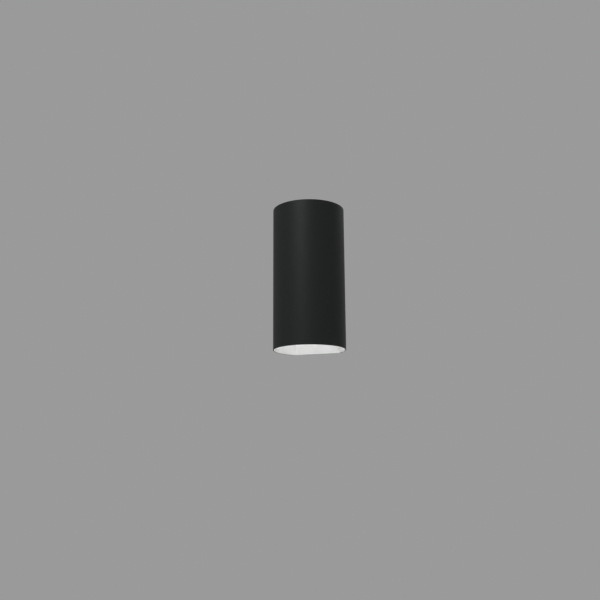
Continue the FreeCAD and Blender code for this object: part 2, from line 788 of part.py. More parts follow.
def make_bulb_stem():
    """A glass stem with a wire spider above and below, which holds the filaments' ends."""
    centre = V(0, axis_y, cup_floor())
    low_z = cup_floor() + filament_rise
    high_z = low_z + filament_length
    stem = cylinder(stem_diameter / 2, high_z + wire_diameter - cup_floor(), centre, Z)
    parts = []
    for spot in filament_spots():
        out = V(spot.x, spot.y - axis_y, 0)
        reach = out.Length
        out.normalize()
        for z in (low_z - wire_diameter / 2, high_z + wire_diameter / 2):
            parts.append(cylinder(wire_diameter / 2, reach + wire_diameter / 2, V(0, axis_y, z), out))
    return stem.fuse(parts).removeSplitter()


# ---------------------------------------------------------------- terminal block
def pole_places():
    return [-pole_pitch, 0.0, pole_pitch]


def clamp_heights():
    return [block_rise - clamp_screw_spacing / 2, block_rise + clamp_screw_spacing / 2]


def make_terminal_bracket():
    """Bent sheet: a foot on the lower plate, a narrow stem, and a wide head behind the block."""
    sheet = terminal_bracket_sheet
    head = rounded_rectangle(terminal_bracket_width, block_height, terminal_bracket_corner,
                             V(0, block_front_y, block_rise))
    stem_height = block_rise - bay_floor
    stem = box(terminal_bracket_stem, sheet, stem_height,
               V(0, block_front_y - sheet / 2, bay_floor + stem_height / 2))
    foot_centre = V(0, block_front_y + terminal_bracket_foot / 2, bay_floor + sheet / 2)
    foot = box(terminal_bracket_stem, terminal_bracket_foot, sheet, foot_centre)
    plate = prism(head, Y * -sheet).fuse([stem, foot]).removeSplitter()

    def outer_bend(edge):
        middle = edge.CenterOfMass
        across = edge.BoundBox.XLength > terminal_bracket_stem * 0.9
        return across and (middle - V(0, block_front_y - sheet, bay_floor)).Length < 1e-3

    plate = fillet_at(plate, sheet, outer_bend)
    cuts = []
    for x in block_screw_places():
        start = V(x, block_front_y + 1, block_rise)
        cuts.append(cylinder(small_screw_diameter / 2, sheet + 2, start, Y * -1))
    for x in (-foot_rivet_spacing / 2, foot_rivet_spacing / 2):
        cuts.append(cylinder(foot_rivet_diameter / 2, sheet + 2, V(x, foot_rivet_y(), bay_floor - 1), Z))
    return plate.cut(cuts)


def make_bracket_rivets():
    """Two solid rivets through the foot and the lower plate."""
    rivets = []
    grip = terminal_bracket_sheet + carrier_sheet
    for x in (-foot_rivet_spacing / 2, foot_rivet_spacing / 2):
        low = V(x, foot_rivet_y(), -plate_face)
        high = low + Z * grip
        shank = cylinder(foot_rivet_diameter / 2, grip, low, Z)
        heads = []
        for seat, out in ((low, Z * -1), (high, Z)):
            head = cylinder(foot_rivet_head / 2, foot_rivet_head_height, seat, out)
            rim = seat + out * foot_rivet_head_height
            heads.append(fillet_at(head, foot_rivet_head_height * rivet_rounding, rim_at(rim)))
        rivets.append(shank.fuse(heads).removeSplitter())
    return Part.makeCompound(rivets)


def block_screw_places():
    """The x of the block's two fixing screws, each between two poles."""
    return [-pole_pitch / 2, pole_pitch / 2]


def make_terminal_body():
    """A three-pole block with a tower round each clamp screw and a wire entry at both ends of each pole."""
    centre = V(0, block_front_y + block_depth / 2, block_rise)
    body = box(block_length, block_depth, block_height, centre)

    def upright_edge(edge):
        size = edge.BoundBox
        return size.ZLength > block_height * 0.9 and edge.CenterOfMass.y > block_top_y - 1e-3

    body = fillet_at(body, block_edge, upright_edge)
    adds, cuts = [], []
    root = block_depth / 2
    tower_radius, well_radius = tower_diameter / 2, clamp_screw_head / 2 + tower_bore_clearance
    for x in pole_places():
        for z in clamp_heights():
            adds.append(cylinder(tower_radius, root + tower_height, V(x, block_top_y - root, z), Y))
            cuts.append(cylinder(well_radius, block_depth + tower_height, V(x, wire_y, z), Y))
        tube_foot = V(x, wire_y, block_rise - clamp_tube_length / 2)
        cuts.append(cylinder(clamp_tube_diameter / 2, clamp_tube_length, tube_foot, Z))
        cuts.append(cylinder(entry_diameter / 2, block_height + 2, V(x, wire_y, block_bottom - 1), Z))
    for x in block_screw_places():
        screw_start = V(x, block_front_y - 1, block_rise)
        cuts.append(cylinder(small_screw_diameter / 2, block_depth + 2, screw_start, Y))
        cuts.append(box(pole_groove, pole_groove * 2, block_height, V(x, block_top_y, block_rise)))
    return body.fuse(adds).cut(cuts)


def make_terminal_tubes():
    """The brass clamp tube of each pole, drilled across for its two screws."""
    tubes = []
    for x in pole_places():
        foot = V(x, wire_y, block_rise - clamp_tube_length / 2)
        tube = cylinder(clamp_tube_diameter / 2, clamp_tube_length, foot, Z)
        cuts = [cylinder(clamp_tube_bore / 2, clamp_tube_length, foot, Z)]
        for z in clamp_heights():
            cuts.append(cylinder(clamp_screw_diameter / 2, clamp_tube_diameter, V(x, wire_y, z), Y))
        tubes.append(tube.cut(cuts))
    return Part.makeCompound(tubes)


def make_clamp_screws():
    """Slotted screws: the lower row down on the lamp leads, the upper row open for the supply."""
    screws = []
    grip = clamp_tube_diameter / 2 - core_diameter / 2 + clamp_screw_stand
    for x in pole_places():
        for z, lift in zip(clamp_heights(), (0, open_screw_lift)):
            tip_y = wire_y + core_diameter / 2 + clamp_bite_clearance + lift
            head_y = tip_y + grip
            shank = cylinder(clamp_screw_diameter / 2, grip, V(x, tip_y, z), Y)
            head = cylinder(clamp_screw_head / 2, clamp_screw_head_height, V(x, head_y, z), Y)
            slot = box(clamp_screw_head, clamp_slot_depth, clamp_slot_width,
                       V(x, head_y + clamp_screw_head_height - clamp_slot_depth / 2, z))
            screws.append(head.cut(slot).fuse(shank).removeSplitter())
    return Part.makeCompound(screws)


def make_block_screws():
    """Two screws that hold the block to its bracket, tapped into the upright."""
    length = block_depth + terminal_bracket_sheet + screw_end
    return Part.makeCompound([
        pan_screw(V(x, block_top_y, block_rise), Y * -1, small_screw_diameter, length,
                  block_screw_head, block_screw_head_height)
        for x in block_screw_places()
    ])


# ---------------------------------------------------------------- earth point
def earth_spot(z):
    return V(earth_x, earth_y, z)


def make_earth_stud():
    """A stud pressed into the lower plate, its head flush with the outer face."""
    foot = earth_spot(-plate_face)
    head = cylinder(earth_stud_head / 2, earth_stud_head_height, foot, Z)
    return head.fuse(cylinder(earth_stud_diameter / 2, earth_stud_length, foot, Z)).removeSplitter()


def make_earth_ring():
    """A crimp ring round the stud, with its barrel towards the block."""
    foot = earth_spot(bay_floor)
    eye = cylinder(earth_ring_diameter / 2, earth_ring_thickness, foot, Z)
    barrel_radius = lead_diameter / 2 + earth_barrel_wall
    line_z = earth_lead_z()
    start = V(earth_x + earth_ring_diameter / 2, earth_y, line_z)
    barrel = cylinder(barrel_radius, earth_barrel_length, start, X)
    neck_from = earth_x + earth_ring_diameter / 2 - earth_neck_overlap
    neck_to = start.x + earth_barrel_length / 2
    neck_centre = V((neck_from + neck_to) / 2, earth_y, bay_floor + earth_ring_thickness / 2)
    neck = box(neck_to - neck_from, barrel_radius * 1.5, earth_ring_thickness, neck_centre)
    ring = eye.fuse([neck, barrel])
    hole = cylinder(earth_stud_diameter / 2, earth_ring_thickness, foot, Z)
    half = earth_barrel_length / 2
    wire_hole = cylinder(lead_diameter / 2, half, start + X * half, X)
    return ring.cut([hole, wire_hole])


def earth_lead_z():
    return bay_floor + lead_diameter / 2 + earth_barrel_wall


def make_earth_washer():
    seat = earth_spot(bay_floor + earth_ring_thickness)
    disc = cylinder(earth_washer_diameter / 2, earth_washer_thickness, seat, Z)
    return disc.cut(cylinder(earth_stud_diameter / 2, earth_washer_thickness, seat, Z))


def make_earth_nut():
    seat = earth_spot(bay_floor + earth_ring_thickness + earth_washer_thickness)
    blank = hexagon(earth_nut_width, seat, Z, earth_nut_height)
    return blank.cut(cylinder(earth_stud_diameter / 2, earth_nut_height, seat, Z))


# ---------------------------------------------------------------- leads
def lead_gap_y():
    """The plane of the upper leads between the holders and the block."""
    return holder_back_y + lead_gap


def into_block(x):
    """The last points of a lead that turns up under the block and goes in at its lower end."""
    half_turn = (wire_y - lead_gap_y()) / 2
    drop = half_turn * math.tan(math.radians(turn_slope))
    return [
        V(x, wire_y - half_turn, block_bottom - turn_below_block - drop),
        V(x, wire_y, block_bottom - turn_below_block),
        V(x, wire_y, block_bottom + lead_entry_depth),
    ]


def upper_lead_route(x_side):
    """From the upper holder's back, down between the holders and the block, and up into the block."""
    x = x_side * pin_spacing / 2
    out = x_side * (pole_pitch + lead_spread / 2)
    gap_y = lead_gap_y()
    return [
        V(x, barrel_end_y(), barrel_z),
        V(x, gap_y, barrel_z),
        V(out - x_side * upper_lead_lean, gap_y - upper_lead_dip, barrel_z - upper_lead_drop),
        V(out, gap_y, block_bottom - turn_below_block),
    ] + into_block(out)


def lower_lead_route(x_side):
    """From the lower holder's back, straight across under the block, and up into it."""
    x = x_side * pin_spacing / 2
    pole = x_side * (pole_pitch - lead_spread / 2)
    return [
        V(x, barrel_end_y(), -barrel_z),
        V(x, lead_gap_y() - lower_lead_setback, -barrel_z),
    ] + into_block(pole)


def earth_lead_route():
    """From the ring's barrel, along the lower plate, and up into the middle pole."""
    start = V(earth_x + earth_ring_diameter / 2 + earth_barrel_length / 2, earth_y, earth_lead_z())
    return [
        start,
        start + X * earth_lead_run,
        V(-earth_lead_lean, wire_y - earth_lead_dip, earth_lead_z() + earth_lead_lift),
        V(0, wire_y, block_bottom - earth_turn_below),
        V(0, wire_y, block_bottom + lead_entry_depth),
    ]


def make_leads():
    leads = {}
    for level, route in (("upper", upper_lead_route), ("lower", lower_lead_route)):
        for x_side, pole in ((-1, "live"), (1, "neutral")):
            name = f"{level}_{pole}_lead"
            leads[name] = lead(name, route(x_side))
    leads["earth_lead"] = lead("earth_lead", earth_lead_route())
    return leads


# ---------------------------------------------------------------- the whole light
def build():
    nodes = {
        "wall_bracket": make_wall_bracket(),
        "bracket_studs": make_bracket_studs(),
        "cable_grommet": make_cable_grommet(),
        "shade_tube": make_shade_tube(),
        "lamp_carrier": make_lamp_carrier(),
        "carrier_rivets": make_carrier_rivets(),
        "holder_screws": make_holder_screws(),
        "holder_nuts": make_holder_nuts(),
        "terminal_bracket": make_terminal_bracket(),
        "terminal_bracket_rivets": make_bracket_rivets(),
        "terminal_body": make_terminal_body(),
        "terminal_clamp_tubes": make_terminal_tubes(),
        "terminal_clamp_screws": make_clamp_screws(),
        "terminal_fixing_screws": make_block_screws(),
        "earth_stud": make_earth_stud(),
        "earth_ring": make_earth_ring(),
        "earth_washer": make_earth_washer(),
        "earth_nut": make_earth_nut(),
    }
    for level, side in (("upper", 1), ("lower", -1)):
        nodes[f"{level}_nut_washer"] = make_nut_washer(side * stud_spacing / 2)
        nodes[f"{level}_cap_nut"] = make_cap_nut(side * stud_spacing / 2)
    pair = {
        "holder_body": make_holder_body(),
        "holder_contacts": make_holder_contacts(),
        "bulb_base": make_bulb_base(),
        "bulb_pins": make_bulb_pins(),
        "bulb_glass": make_bulb_glass(),
        "bulb_filaments": make_bulb_filaments(),
        "bulb_stem": make_bulb_stem(),
    }
    for name, shape in pair.items():
        nodes[f"upper_{name}"] = shape
        nodes[f"lower_{name}"] = turned_over(shape)
    nodes.update(make_leads())
    return nodes


def main():
    os.makedirs("parts", exist_ok=True)
    for name, shape in build().items():
        shape.exportStep(f"parts/{name}.step")
        print(f"{name}: {len(shape.Solids)} solid(s), {shape.Volume:.0f} mm3, valid {shape.isValid()}")


main()
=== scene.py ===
import bpy
import bmesh
import json
import math
from mathutils import Matrix, Quaternion, Vector


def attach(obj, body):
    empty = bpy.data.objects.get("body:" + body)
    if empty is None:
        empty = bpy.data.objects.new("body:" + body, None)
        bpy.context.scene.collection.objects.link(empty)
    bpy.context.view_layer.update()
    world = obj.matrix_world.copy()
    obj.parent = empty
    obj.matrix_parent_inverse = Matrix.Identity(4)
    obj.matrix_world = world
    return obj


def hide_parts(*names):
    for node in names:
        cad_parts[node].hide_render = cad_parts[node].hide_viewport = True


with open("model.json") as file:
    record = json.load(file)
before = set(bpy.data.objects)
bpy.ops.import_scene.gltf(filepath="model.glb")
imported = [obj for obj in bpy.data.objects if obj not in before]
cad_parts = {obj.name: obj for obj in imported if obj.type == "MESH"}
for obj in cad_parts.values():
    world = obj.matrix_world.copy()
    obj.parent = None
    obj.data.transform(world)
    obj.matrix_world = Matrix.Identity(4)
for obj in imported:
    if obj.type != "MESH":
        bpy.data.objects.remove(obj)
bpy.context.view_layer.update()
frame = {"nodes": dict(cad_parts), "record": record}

print("frame loaded")

toWall, up = Vector((0, 1, 0)), Vector((0, 0, 1))
levels = {"upper": 1, "lower": -1}  # the light has the same fittings above and below its middle
studHeight = 65  # mm from the middle to a stud, to its hole in the tube and to its cap nut


def mm(value):
    return value / 1000


def addNode(tree, kind, settings=None, values=None, links=None):
    node = tree.nodes.new(kind)
    for name, value in (settings or {}).items():
        setattr(node, name, value)
    for socket, value in (values or {}).items():
        node.inputs[socket].default_value = value
    for socket, source in (links or {}).items():
        tree.links.new(source, node.inputs[socket])
    return node


def linearColour(hexValue, share=1.0):
    # the linear value of an sRGB hex colour, or a share of it for a darker one
    channels = [int(hexValue[i:i + 2], 16) / 255 for i in (1, 3, 5)]
    return [share * (c / 12.92 if c <= 0.04045 else ((c + 0.055) / 1.055) ** 2.4) for c in channels] + [1]


def newMaterial(name, **shaderValues):
    # shaderValues: the shader's sockets, with _ for each blank in their names
    material = bpy.data.materials.new(name)
    material.use_nodes = True
    tree = material.node_tree
    shader = tree.nodes["Principled BSDF"]
    for socket, value in shaderValues.items():
        shader.inputs[socket.replace("_", " ")].default_value = value
    return material, tree, shader


def objectPoint(tree, step=(1, 1, 1)):
    # the place on the piece, counted in steps of so many mm each way
    coordinates = addNode(tree, "ShaderNodeTexCoord")
    return addNode(tree, "ShaderNodeMapping", None, {"Scale": [1000 / size for size in step]},
                   {"Vector": coordinates.outputs["Object"]}).outputs["Vector"]


noiseSpan = (0.3, 0.7)  # nearly all of a noise texture's values lie between these
waveScale = 0.314  # the scale at which a wave texture repeats once in each unit


def finishShader(tree, shader, tint, gloss=None, relief=None, marks=None):
    # tint: a pattern, the colour where it is low, the colour where it is high
    # gloss: a pattern, the roughness where it is low, the roughness where it is high
    # relief: a pattern, its strength, its height in mm; marks: the mask and colour of what lies over the tint
    pattern, low, high = tint
    cover = addNode(tree, "ShaderNodeMix", {"data_type": "RGBA"}, {6: low, 7: high}, {0: pattern}).outputs[2]
    if marks:
        mask, colour = marks
        cover = addNode(tree, "ShaderNodeMix", {"data_type": "RGBA"}, {7: colour},
                        {0: mask, 6: cover}).outputs[2]
    tree.links.new(cover, shader.inputs["Base Color"])
    if gloss:
        pattern, low, high = gloss
        rough = addNode(tree, "ShaderNodeMapRange", None,
                        {"From Min": noiseSpan[0], "From Max": noiseSpan[1], "To Min": low, "To Max": high},
                        {"Value": pattern})
        tree.links.new(rough.outputs["Result"], shader.inputs["Roughness"])
    if relief:
        pattern, strength, height = relief
        bump = addNode(tree, "ShaderNodeBump", None, {"Strength": strength, "Distance": mm(height)},
                       {"Height": pattern})
        tree.links.new(bump.outputs["Normal"], shader.inputs["Normal"])


def newTree(name, sizes):
    # sizes: label -> (socket type, starting value)
    tree = bpy.data.node_groups.new(name, "GeometryNodeTree")
    for label, (kind, value) in sizes.items():
        socket = tree.interface.new_socket(label, in_out="INPUT", socket_type="NodeSocket" + kind)
        if value is not None:
            socket.default_value = value
    tree.interface.new_socket("Geometry", in_out="OUTPUT", socket_type="NodeSocketGeometry")
    entry = addNode(tree, "NodeGroupInput")
    return tree, entry.outputs


def holdShape(piece):
    # keeps the mesh as its modifiers leave it
    depsgraph = bpy.context.evaluated_depsgraph_get()
    piece.data = bpy.data.meshes.new_from_object(
        piece.evaluated_get(depsgraph), preserve_all_data_layers=True, depsgraph=depsgraph)
    piece.data.name = piece.name
    piece.modifiers.clear()
    return piece


def newPiece(name, shape):
    # shape: a bmesh, which is used up
    mesh = bpy.data.meshes.new(name)
    shape.to_mesh(mesh)
    shape.free()
    piece = bpy.data.objects.new(name, mesh)
    bpy.context.collection.objects.link(piece)
    return piece


def evenShading(piece, angle=30):
    # round faces shade smoothly and flat ones stay flat, with a crisp edge past the angle
    piece.data.shade_smooth()
    piece.data.set_sharp_from_angle(angle=math.radians(angle))
    steady = piece.modifiers.new("steady", "WEIGHTED_NORMAL")
    steady.keep_sharp = True
    steady.weight = 100
    return holdShape(piece)


def roundEdges(piece, width, angle=30):
    # eases every edge that is sharper than the angle
    edge = piece.modifiers.new("edge", "BEVEL")
    edge.width = mm(width)
    edge.segments = 2
    edge.limit_method = "ANGLE"
    edge.angle_limit = math.radians(angle)
    edge.use_clamp_overlap = True
    return holdShape(piece)


def carve(piece, tools, operation="DIFFERENCE"):
    # cuts each tool out of the piece, or keeps what is inside it, and uses the tools up
    for tool in tools:
        cut = piece.modifiers.new("cut", "BOOLEAN")
        cut.operation = operation
        cut.solver = "EXACT"
        cut.object = tool
        bpy.context.view_layer.update()
        holdShape(piece)
    for tool in tools:
        bpy.data.objects.remove(tool)
    return piece


def turned(name, profile, sides, ripple=None):
    # a turned piece on its own Z axis: profile is (radius, height) in mm, from axis to axis or else closed
    # ripple: (count, depth, lowest, highest), for V-shaped knurls and teeth between two heights
    count, depth, lowest, highest = ripple or (0, 0, 0, 0)
    onAxis = 1e-6  # a smaller radius than this is one point
    shape = bmesh.new()
    rings = []
    for radius, height in profile:
        if radius < onAxis:
            rings.append([shape.verts.new((0, 0, mm(height)))])
            continue
        ring = []
        for n in range(sides):
            angle = 2 * math.pi * n / sides
            reach = radius
            if lowest < height < highest:
                reach -= depth * abs((count * angle / math.pi) % 2 - 1)
            x, y = reach * math.cos(angle), reach * math.sin(angle)
            ring.append(shape.verts.new((mm(x), mm(y), mm(height))))
        rings.append(ring)
    pairs = list(zip(rings, rings[1:]))
    if profile[0][0] > onAxis and profile[-1][0] > onAxis:
        pairs.append((rings[-1], rings[0]))
    for low, high in pairs:
        if len(low) == 1 and len(high) == 1:
            continue
        for n in range(sides):
            m = (n + 1) % sides
            if len(low) == 1:
                shape.faces.new((low[0], high[n], high[m]))
            elif len(high) == 1:
                shape.faces.new((low[n], low[m], high[0]))
            else:
                shape.faces.new((low[n], low[m], high[m], high[n]))
    bmesh.ops.recalc_face_normals(shape, faces=shape.faces)
    return newPiece(name, shape)


def bar(name, outline, start, depth):
    # an outline of (x, z) pushed towards the room from y = start, all in mm
    shape = bmesh.new()
    rear = [shape.verts.new((mm(x), mm(start), mm(z))) for x, z in outline]
    front = [shape.verts.new((mm(x), mm(start - depth), mm(z))) for x, z in outline]
    shape.faces.new(rear)
    shape.faces.new(front)
    for n in range(len(outline)):
        m = (n + 1) % len(outline)
        shape.faces.new((rear[n], rear[m], front[m], front[n]))
    bmesh.ops.recalc_face_normals(shape, faces=shape.faces)
    return newPiece(name, shape)


def roundedOutline(width, height, radius, centre=(0, 0)):
    # (x, z) round a window, a slot or, with a radius of half the width, a hole
    perCorner = 8
    points = []
    for quarter, (sx, sz) in enumerate([(1, 1), (-1, 1), (-1, -1), (1, -1)]):
        for n in range(perCorner + 1):
            angle = math.pi / 2 * (quarter + n / perCorner)
            points.append((centre[0] + sx * (width / 2 - radius) + radius * math.cos(angle),
                           centre[1] + sz * (height / 2 - radius) + radius * math.sin(angle)))
    return points


def painted(piece, material):
    # with no material, the piece's faces keep the ones that they have
    if material is not None:
        piece.data.materials.clear()
        piece.data.materials.append(material)
    return piece


def bodyOf(node):
    return next(body for body, nodes in frame["record"]["behaviour"]["bodies"].items() if node in nodes)


def standFor(piece, node):
    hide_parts(node)
    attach(piece, bodyOf(node))
    return piece


def dressed(node, material, edge=0, angle=30):
    # a copy of a solid's mesh with its triangles joined up, its edges eased and its round faces smooth
    shape = bmesh.new()
    shape.from_mesh(frame["nodes"][node].data)
    bmesh.ops.remove_doubles(shape, verts=shape.verts, dist=mm(0.001))
    piece = newPiece(node + "_skin", shape)
    if edge:
        roundEdges(piece, edge, angle)
    evenShading(piece, angle)
    painted(piece, material)
    return standFor(piece, node)


def powderCoatBlack():
    # fine-texture polyester powder on aluminium: near black, matt, with a close grain that breaks up
    # highlights; it is drawn at 0.9 mm, some four times the real grain, so that it shows
    look = {"colour": "#101412", "speck": "#181c1a", "grain": 0.9, "speckSpan": (0.35, 0.72), "cloud": 14,
            "gloss": (0.51, 0.55), "relief": (0.5, 0.06)}
    material, tree, shader = newMaterial("powderCoatBlack", IOR=1.5, Specular_IOR_Level=0.27)
    point = objectPoint(tree)
    grain = addNode(tree, "ShaderNodeTexNoise", None,
                    {"Scale": 1 / look["grain"], "Detail": 2.0, "Roughness": 0.6},
                    {"Vector": point}).outputs["Fac"]
    cloud = addNode(tree, "ShaderNodeTexNoise", None, {"Scale": 1 / look["cloud"], "Detail": 3.0},
                    {"Vector": point}).outputs["Fac"]
    specks = addNode(tree, "ShaderNodeMapRange", None,
                     {"From Min": look["speckSpan"][0], "From Max": look["speckSpan"][1]}, {"Value": grain})
    tint = (specks.outputs["Result"], linearColour(look["colour"]), linearColour(look["speck"]))
    finishShader(tree, shader, tint, (cloud, *look["gloss"]), (grain, *look["relief"]))
    return material


def powderCoatWhite():
    # smooth white powder on metal: satin, with the faint orange peel of a melted coat
    look = {"colour": "#f2f2f1", "shade": "#ebebea", "peel": 1.6, "cloud": 20, "relief": (0.4, 0.06)}
    material, tree, shader = newMaterial("powderCoatWhite", Roughness=0.4, IOR=1.5)
    point = objectPoint(tree)
    peel = addNode(tree, "ShaderNodeTexNoise", None, {"Scale": 1 / look["peel"], "Detail": 1.0},
                   {"Vector": point}).outputs["Fac"]
    cloud = addNode(tree, "ShaderNodeTexNoise", None, {"Scale": 1 / look["cloud"], "Detail": 2.0},
                    {"Vector": point}).outputs["Fac"]
    tint = (cloud, linearColour(look["shade"]), linearColour(look["colour"]))
    finishShader(tree, shader, tint, relief=(peel, *look["relief"]))
    return material


def zincPlatedSteel():
    # bright zinc on cold-rolled sheet: cool grey, faintly cloudy shine, fine lines along z, the way it was
    # rolled; they are drawn 0.25 mm wide, some three times the real ones, so that they show
    look = {"colour": "#d2d6d9", "dull": "#c2c7cb", "cloud": 9, "line": 0.25, "lineLength": 22,
            "gloss": (0.36, 0.3), "relief": (0.25, 0.02)}
    material, tree, shader = newMaterial("zincPlatedSteel", Metallic=1.0)
    rolled = objectPoint(tree, (look["line"], look["line"], look["lineLength"]))
    cloud = addNode(tree, "ShaderNodeTexNoise", None, {"Scale": 1 / look["cloud"], "Detail": 4.0},
                    {"Vector": objectPoint(tree)}).outputs["Fac"]
    lines = addNode(tree, "ShaderNodeTexNoise", None, {"Scale": 1.0, "Detail": 1.0},
                    {"Vector": rolled}).outputs["Fac"]
    tint = (cloud, linearColour(look["dull"]), linearColour(look["colour"]))
    finishShader(tree, shader, tint, (cloud, *look["gloss"]), (lines, *look["relief"]))
    return material


def nickelPlatedBrass():
    # turned on a lathe and plated: warm, pale and bright, with fine rings round each nut's axis, along Y
    look = {"colour": "#d9d4c9", "dull": "#bdb8ae", "ring": 0.25, "waver": 0.4, "cloud": 2.5,
            "gloss": (0.26, 0.16), "relief": (0.15, 0.02)}
    material, tree, shader = newMaterial("nickelPlatedBrass", Metallic=1.0)
    point = objectPoint(tree)
    # one pattern serves the upper and the lower nut, because it is folded over at z = 0
    split = addNode(tree, "ShaderNodeSeparateXYZ", None, None, {"Vector": point})
    folded = addNode(tree, "ShaderNodeMath", {"operation": "ABSOLUTE"}, None, {0: split.outputs["Z"]})
    fromAxis = addNode(tree, "ShaderNodeMath", {"operation": "SUBTRACT"}, {1: studHeight},
                       {0: folded.outputs[0]})
    centred = addNode(tree, "ShaderNodeCombineXYZ", None, None,
                      {"X": split.outputs["X"], "Y": split.outputs["Y"], "Z": fromAxis.outputs[0]})
    rings = addNode(tree, "ShaderNodeTexWave", {"wave_type": "RINGS", "rings_direction": "Y"},
                    {"Scale": waveScale / look["ring"], "Distortion": look["waver"], "Detail": 2.0,
                     "Detail Scale": 3.0}, {"Vector": centred.outputs[0]}).outputs["Fac"]
    cloud = addNode(tree, "ShaderNodeTexNoise", None, {"Scale": 1 / look["cloud"], "Detail": 3.0},
                    {"Vector": point}).outputs["Fac"]
    tint = (cloud, linearColour(look["dull"]), linearColour(look["colour"]))
    finishShader(tree, shader, tint, (cloud, *look["gloss"]), (rings, *look["relief"]))
    return material


def rolledMetal(name, colour, dull, gloss, cloud=2.0):
    # small parts of strip, wire or bar: an uneven shine in patches, as many mm wide as cloud says, and faint
    # marks from handling
    look = {"mark": 0.2, "relief": (0.12, 0.02)}
    material, tree, shader = newMaterial(name, Metallic=1.0)
    point = objectPoint(tree)
    patches = addNode(tree, "ShaderNodeTexNoise", None, {"Scale": 1 / cloud, "Detail": 4.0},
                      {"Vector": point}).outputs["Fac"]
    handled = addNode(tree, "ShaderNodeTexNoise", None, {"Scale": 1 / look["mark"], "Detail": 2.0},
                      {"Vector": point}).outputs["Fac"]
    tint = (patches, linearColour(dull), linearColour(colour))
    finishShader(tree, shader, tint, (patches, *gloss), (handled, *look["relief"]))
    return material


def mouldedRubber():
    # black EPDM from a mould: dull, slightly grey where it is dusty, with a fine skin
    look = {"colour": "#161616", "dusty": "#242423", "dust": 2.86, "skin": 0.286, "gloss": (0.62, 0.8),
            "relief": (0.3, 0.03)}
    material, tree, shader = newMaterial("mouldedRubber", IOR=1.52, Sheen_Weight=0.15, Sheen_Roughness=0.6)
    point = objectPoint(tree)
    dust = addNode(tree, "ShaderNodeTexNoise", None, {"Scale": 1 / look["dust"], "Detail": 4.0},
                   {"Vector": point}).outputs["Fac"]
    skin = addNode(tree, "ShaderNodeTexNoise", None, {"Scale": 1 / look["skin"], "Detail": 2.0},
                   {"Vector": point}).outputs["Fac"]
    tint = (dust, linearColour(look["colour"]), linearColour(look["dusty"]))
    finishShader(tree, shader, tint, (dust, *look["gloss"]), (skin, *look["relief"]))
    return material


def firedCeramic(name, colour, shade, speck, grain, gloss):
    # pressed and fired: pale, fine-grained, with a few darker specks in the body
    look = {"body": 4.0, "speckStep": 0.909, "speckEdge": (0.05, 0.14), "relief": (0.2, 0.03)}
    material, tree, shader = newMaterial(name, IOR=1.55)
    point = objectPoint(tree)
    body = addNode(tree, "ShaderNodeTexNoise", None, {"Scale": 1 / look["body"], "Detail": 4.0},
                   {"Vector": point}).outputs["Fac"]
    cells = addNode(tree, "ShaderNodeTexVoronoi", None, {"Scale": 1 / look["speckStep"], "Randomness": 1.0},
                    {"Vector": point})
    onSpeck = addNode(tree, "ShaderNodeMapRange", None,
                      {"From Min": look["speckEdge"][0], "From Max": look["speckEdge"][1], "To Min": 1.0,
                       "To Max": 0.0}, {"Value": cells.outputs["Distance"]})
    pressed = addNode(tree, "ShaderNodeTexNoise", None, {"Scale": 1 / grain, "Detail": 3.0},
                      {"Vector": point}).outputs["Fac"]
    tint = (body, linearColour(shade), linearColour(colour))
    finishShader(tree, shader, tint, (pressed, *gloss), (pressed, *look["relief"]),
                 (onSpeck.outputs["Result"], linearColour(speck)))
    return material


def translucentNylon():
    # moulded polyamide: milky, lets a little light into its edges, with a faint flow pattern
    look = {"colour": "#ebe9df", "shade": "#dedbcd", "flow": 5.0, "skin": 0.4, "gloss": (0.36, 0.5),
            "relief": (0.15, 0.03), "depth": 1.2}
    material, tree, shader = newMaterial(
        "translucentNylon", IOR=1.53, Subsurface_Weight=0.35, Subsurface_Scale=mm(look["depth"]),
        Subsurface_Radius=(1.0, 0.9, 0.75))
    point = objectPoint(tree)
    flow = addNode(tree, "ShaderNodeTexNoise", None,
                   {"Scale": 1 / look["flow"], "Detail": 3.0, "Distortion": 0.6},
                   {"Vector": point}).outputs["Fac"]
    skin = addNode(tree, "ShaderNodeTexNoise", None, {"Scale": 1 / look["skin"], "Detail": 2.0},
                   {"Vector": point}).outputs["Fac"]
    tint = (flow, linearColour(look["shade"]), linearColour(look["colour"]))
    finishShader(tree, shader, tint, (skin, *look["gloss"]), (skin, *look["relief"]))
    return material


def leadInsulation(name, colour, stripe=None):
    # extruded heat-resistant sleeve: satin, with faint lengthwise drag lines, and a stripe where one is given
    # the piece's UV map runs in mm along the lead and from -1 to 1 across it
    look = {"shade": 0.8, "lines": 14.0, "drag": 1 / 3, "stripeFold": 0.25, "stripeEdge": (0.115, 0.135),
            "gloss": (0.34, 0.46), "relief": (0.1, 0.02)}
    material, tree, shader = newMaterial(name, IOR=1.45)
    unwrapped = addNode(tree, "ShaderNodeUVMap", {"uv_map": "along"}).outputs["UV"]
    drawn = addNode(tree, "ShaderNodeMapping", None, {"Scale": (1.0, look["lines"], 1.0)},
                    {"Vector": unwrapped})
    drag = addNode(tree, "ShaderNodeTexNoise", None, {"Scale": 1 / look["drag"], "Detail": 2.0},
                   {"Vector": drawn.outputs["Vector"]}).outputs["Fac"]
    marks = None
    if stripe:
        across = addNode(tree, "ShaderNodeSeparateXYZ", None, None, {"Vector": unwrapped})
        fold = addNode(tree, "ShaderNodeMath", {"operation": "PINGPONG"}, {1: look["stripeFold"]},
                       {0: across.outputs["Y"]})
        onStripe = addNode(tree, "ShaderNodeMapRange", None,
                           {"From Min": look["stripeEdge"][0], "From Max": look["stripeEdge"][1]},
                           {"Value": fold.outputs[0]})
        marks = (onStripe.outputs["Result"], linearColour(stripe))
    tint = (drag, linearColour(colour, look["shade"]), linearColour(colour))
    finishShader(tree, shader, tint, (drag, *look["gloss"]), (drag, *look["relief"]), marks)
    return material


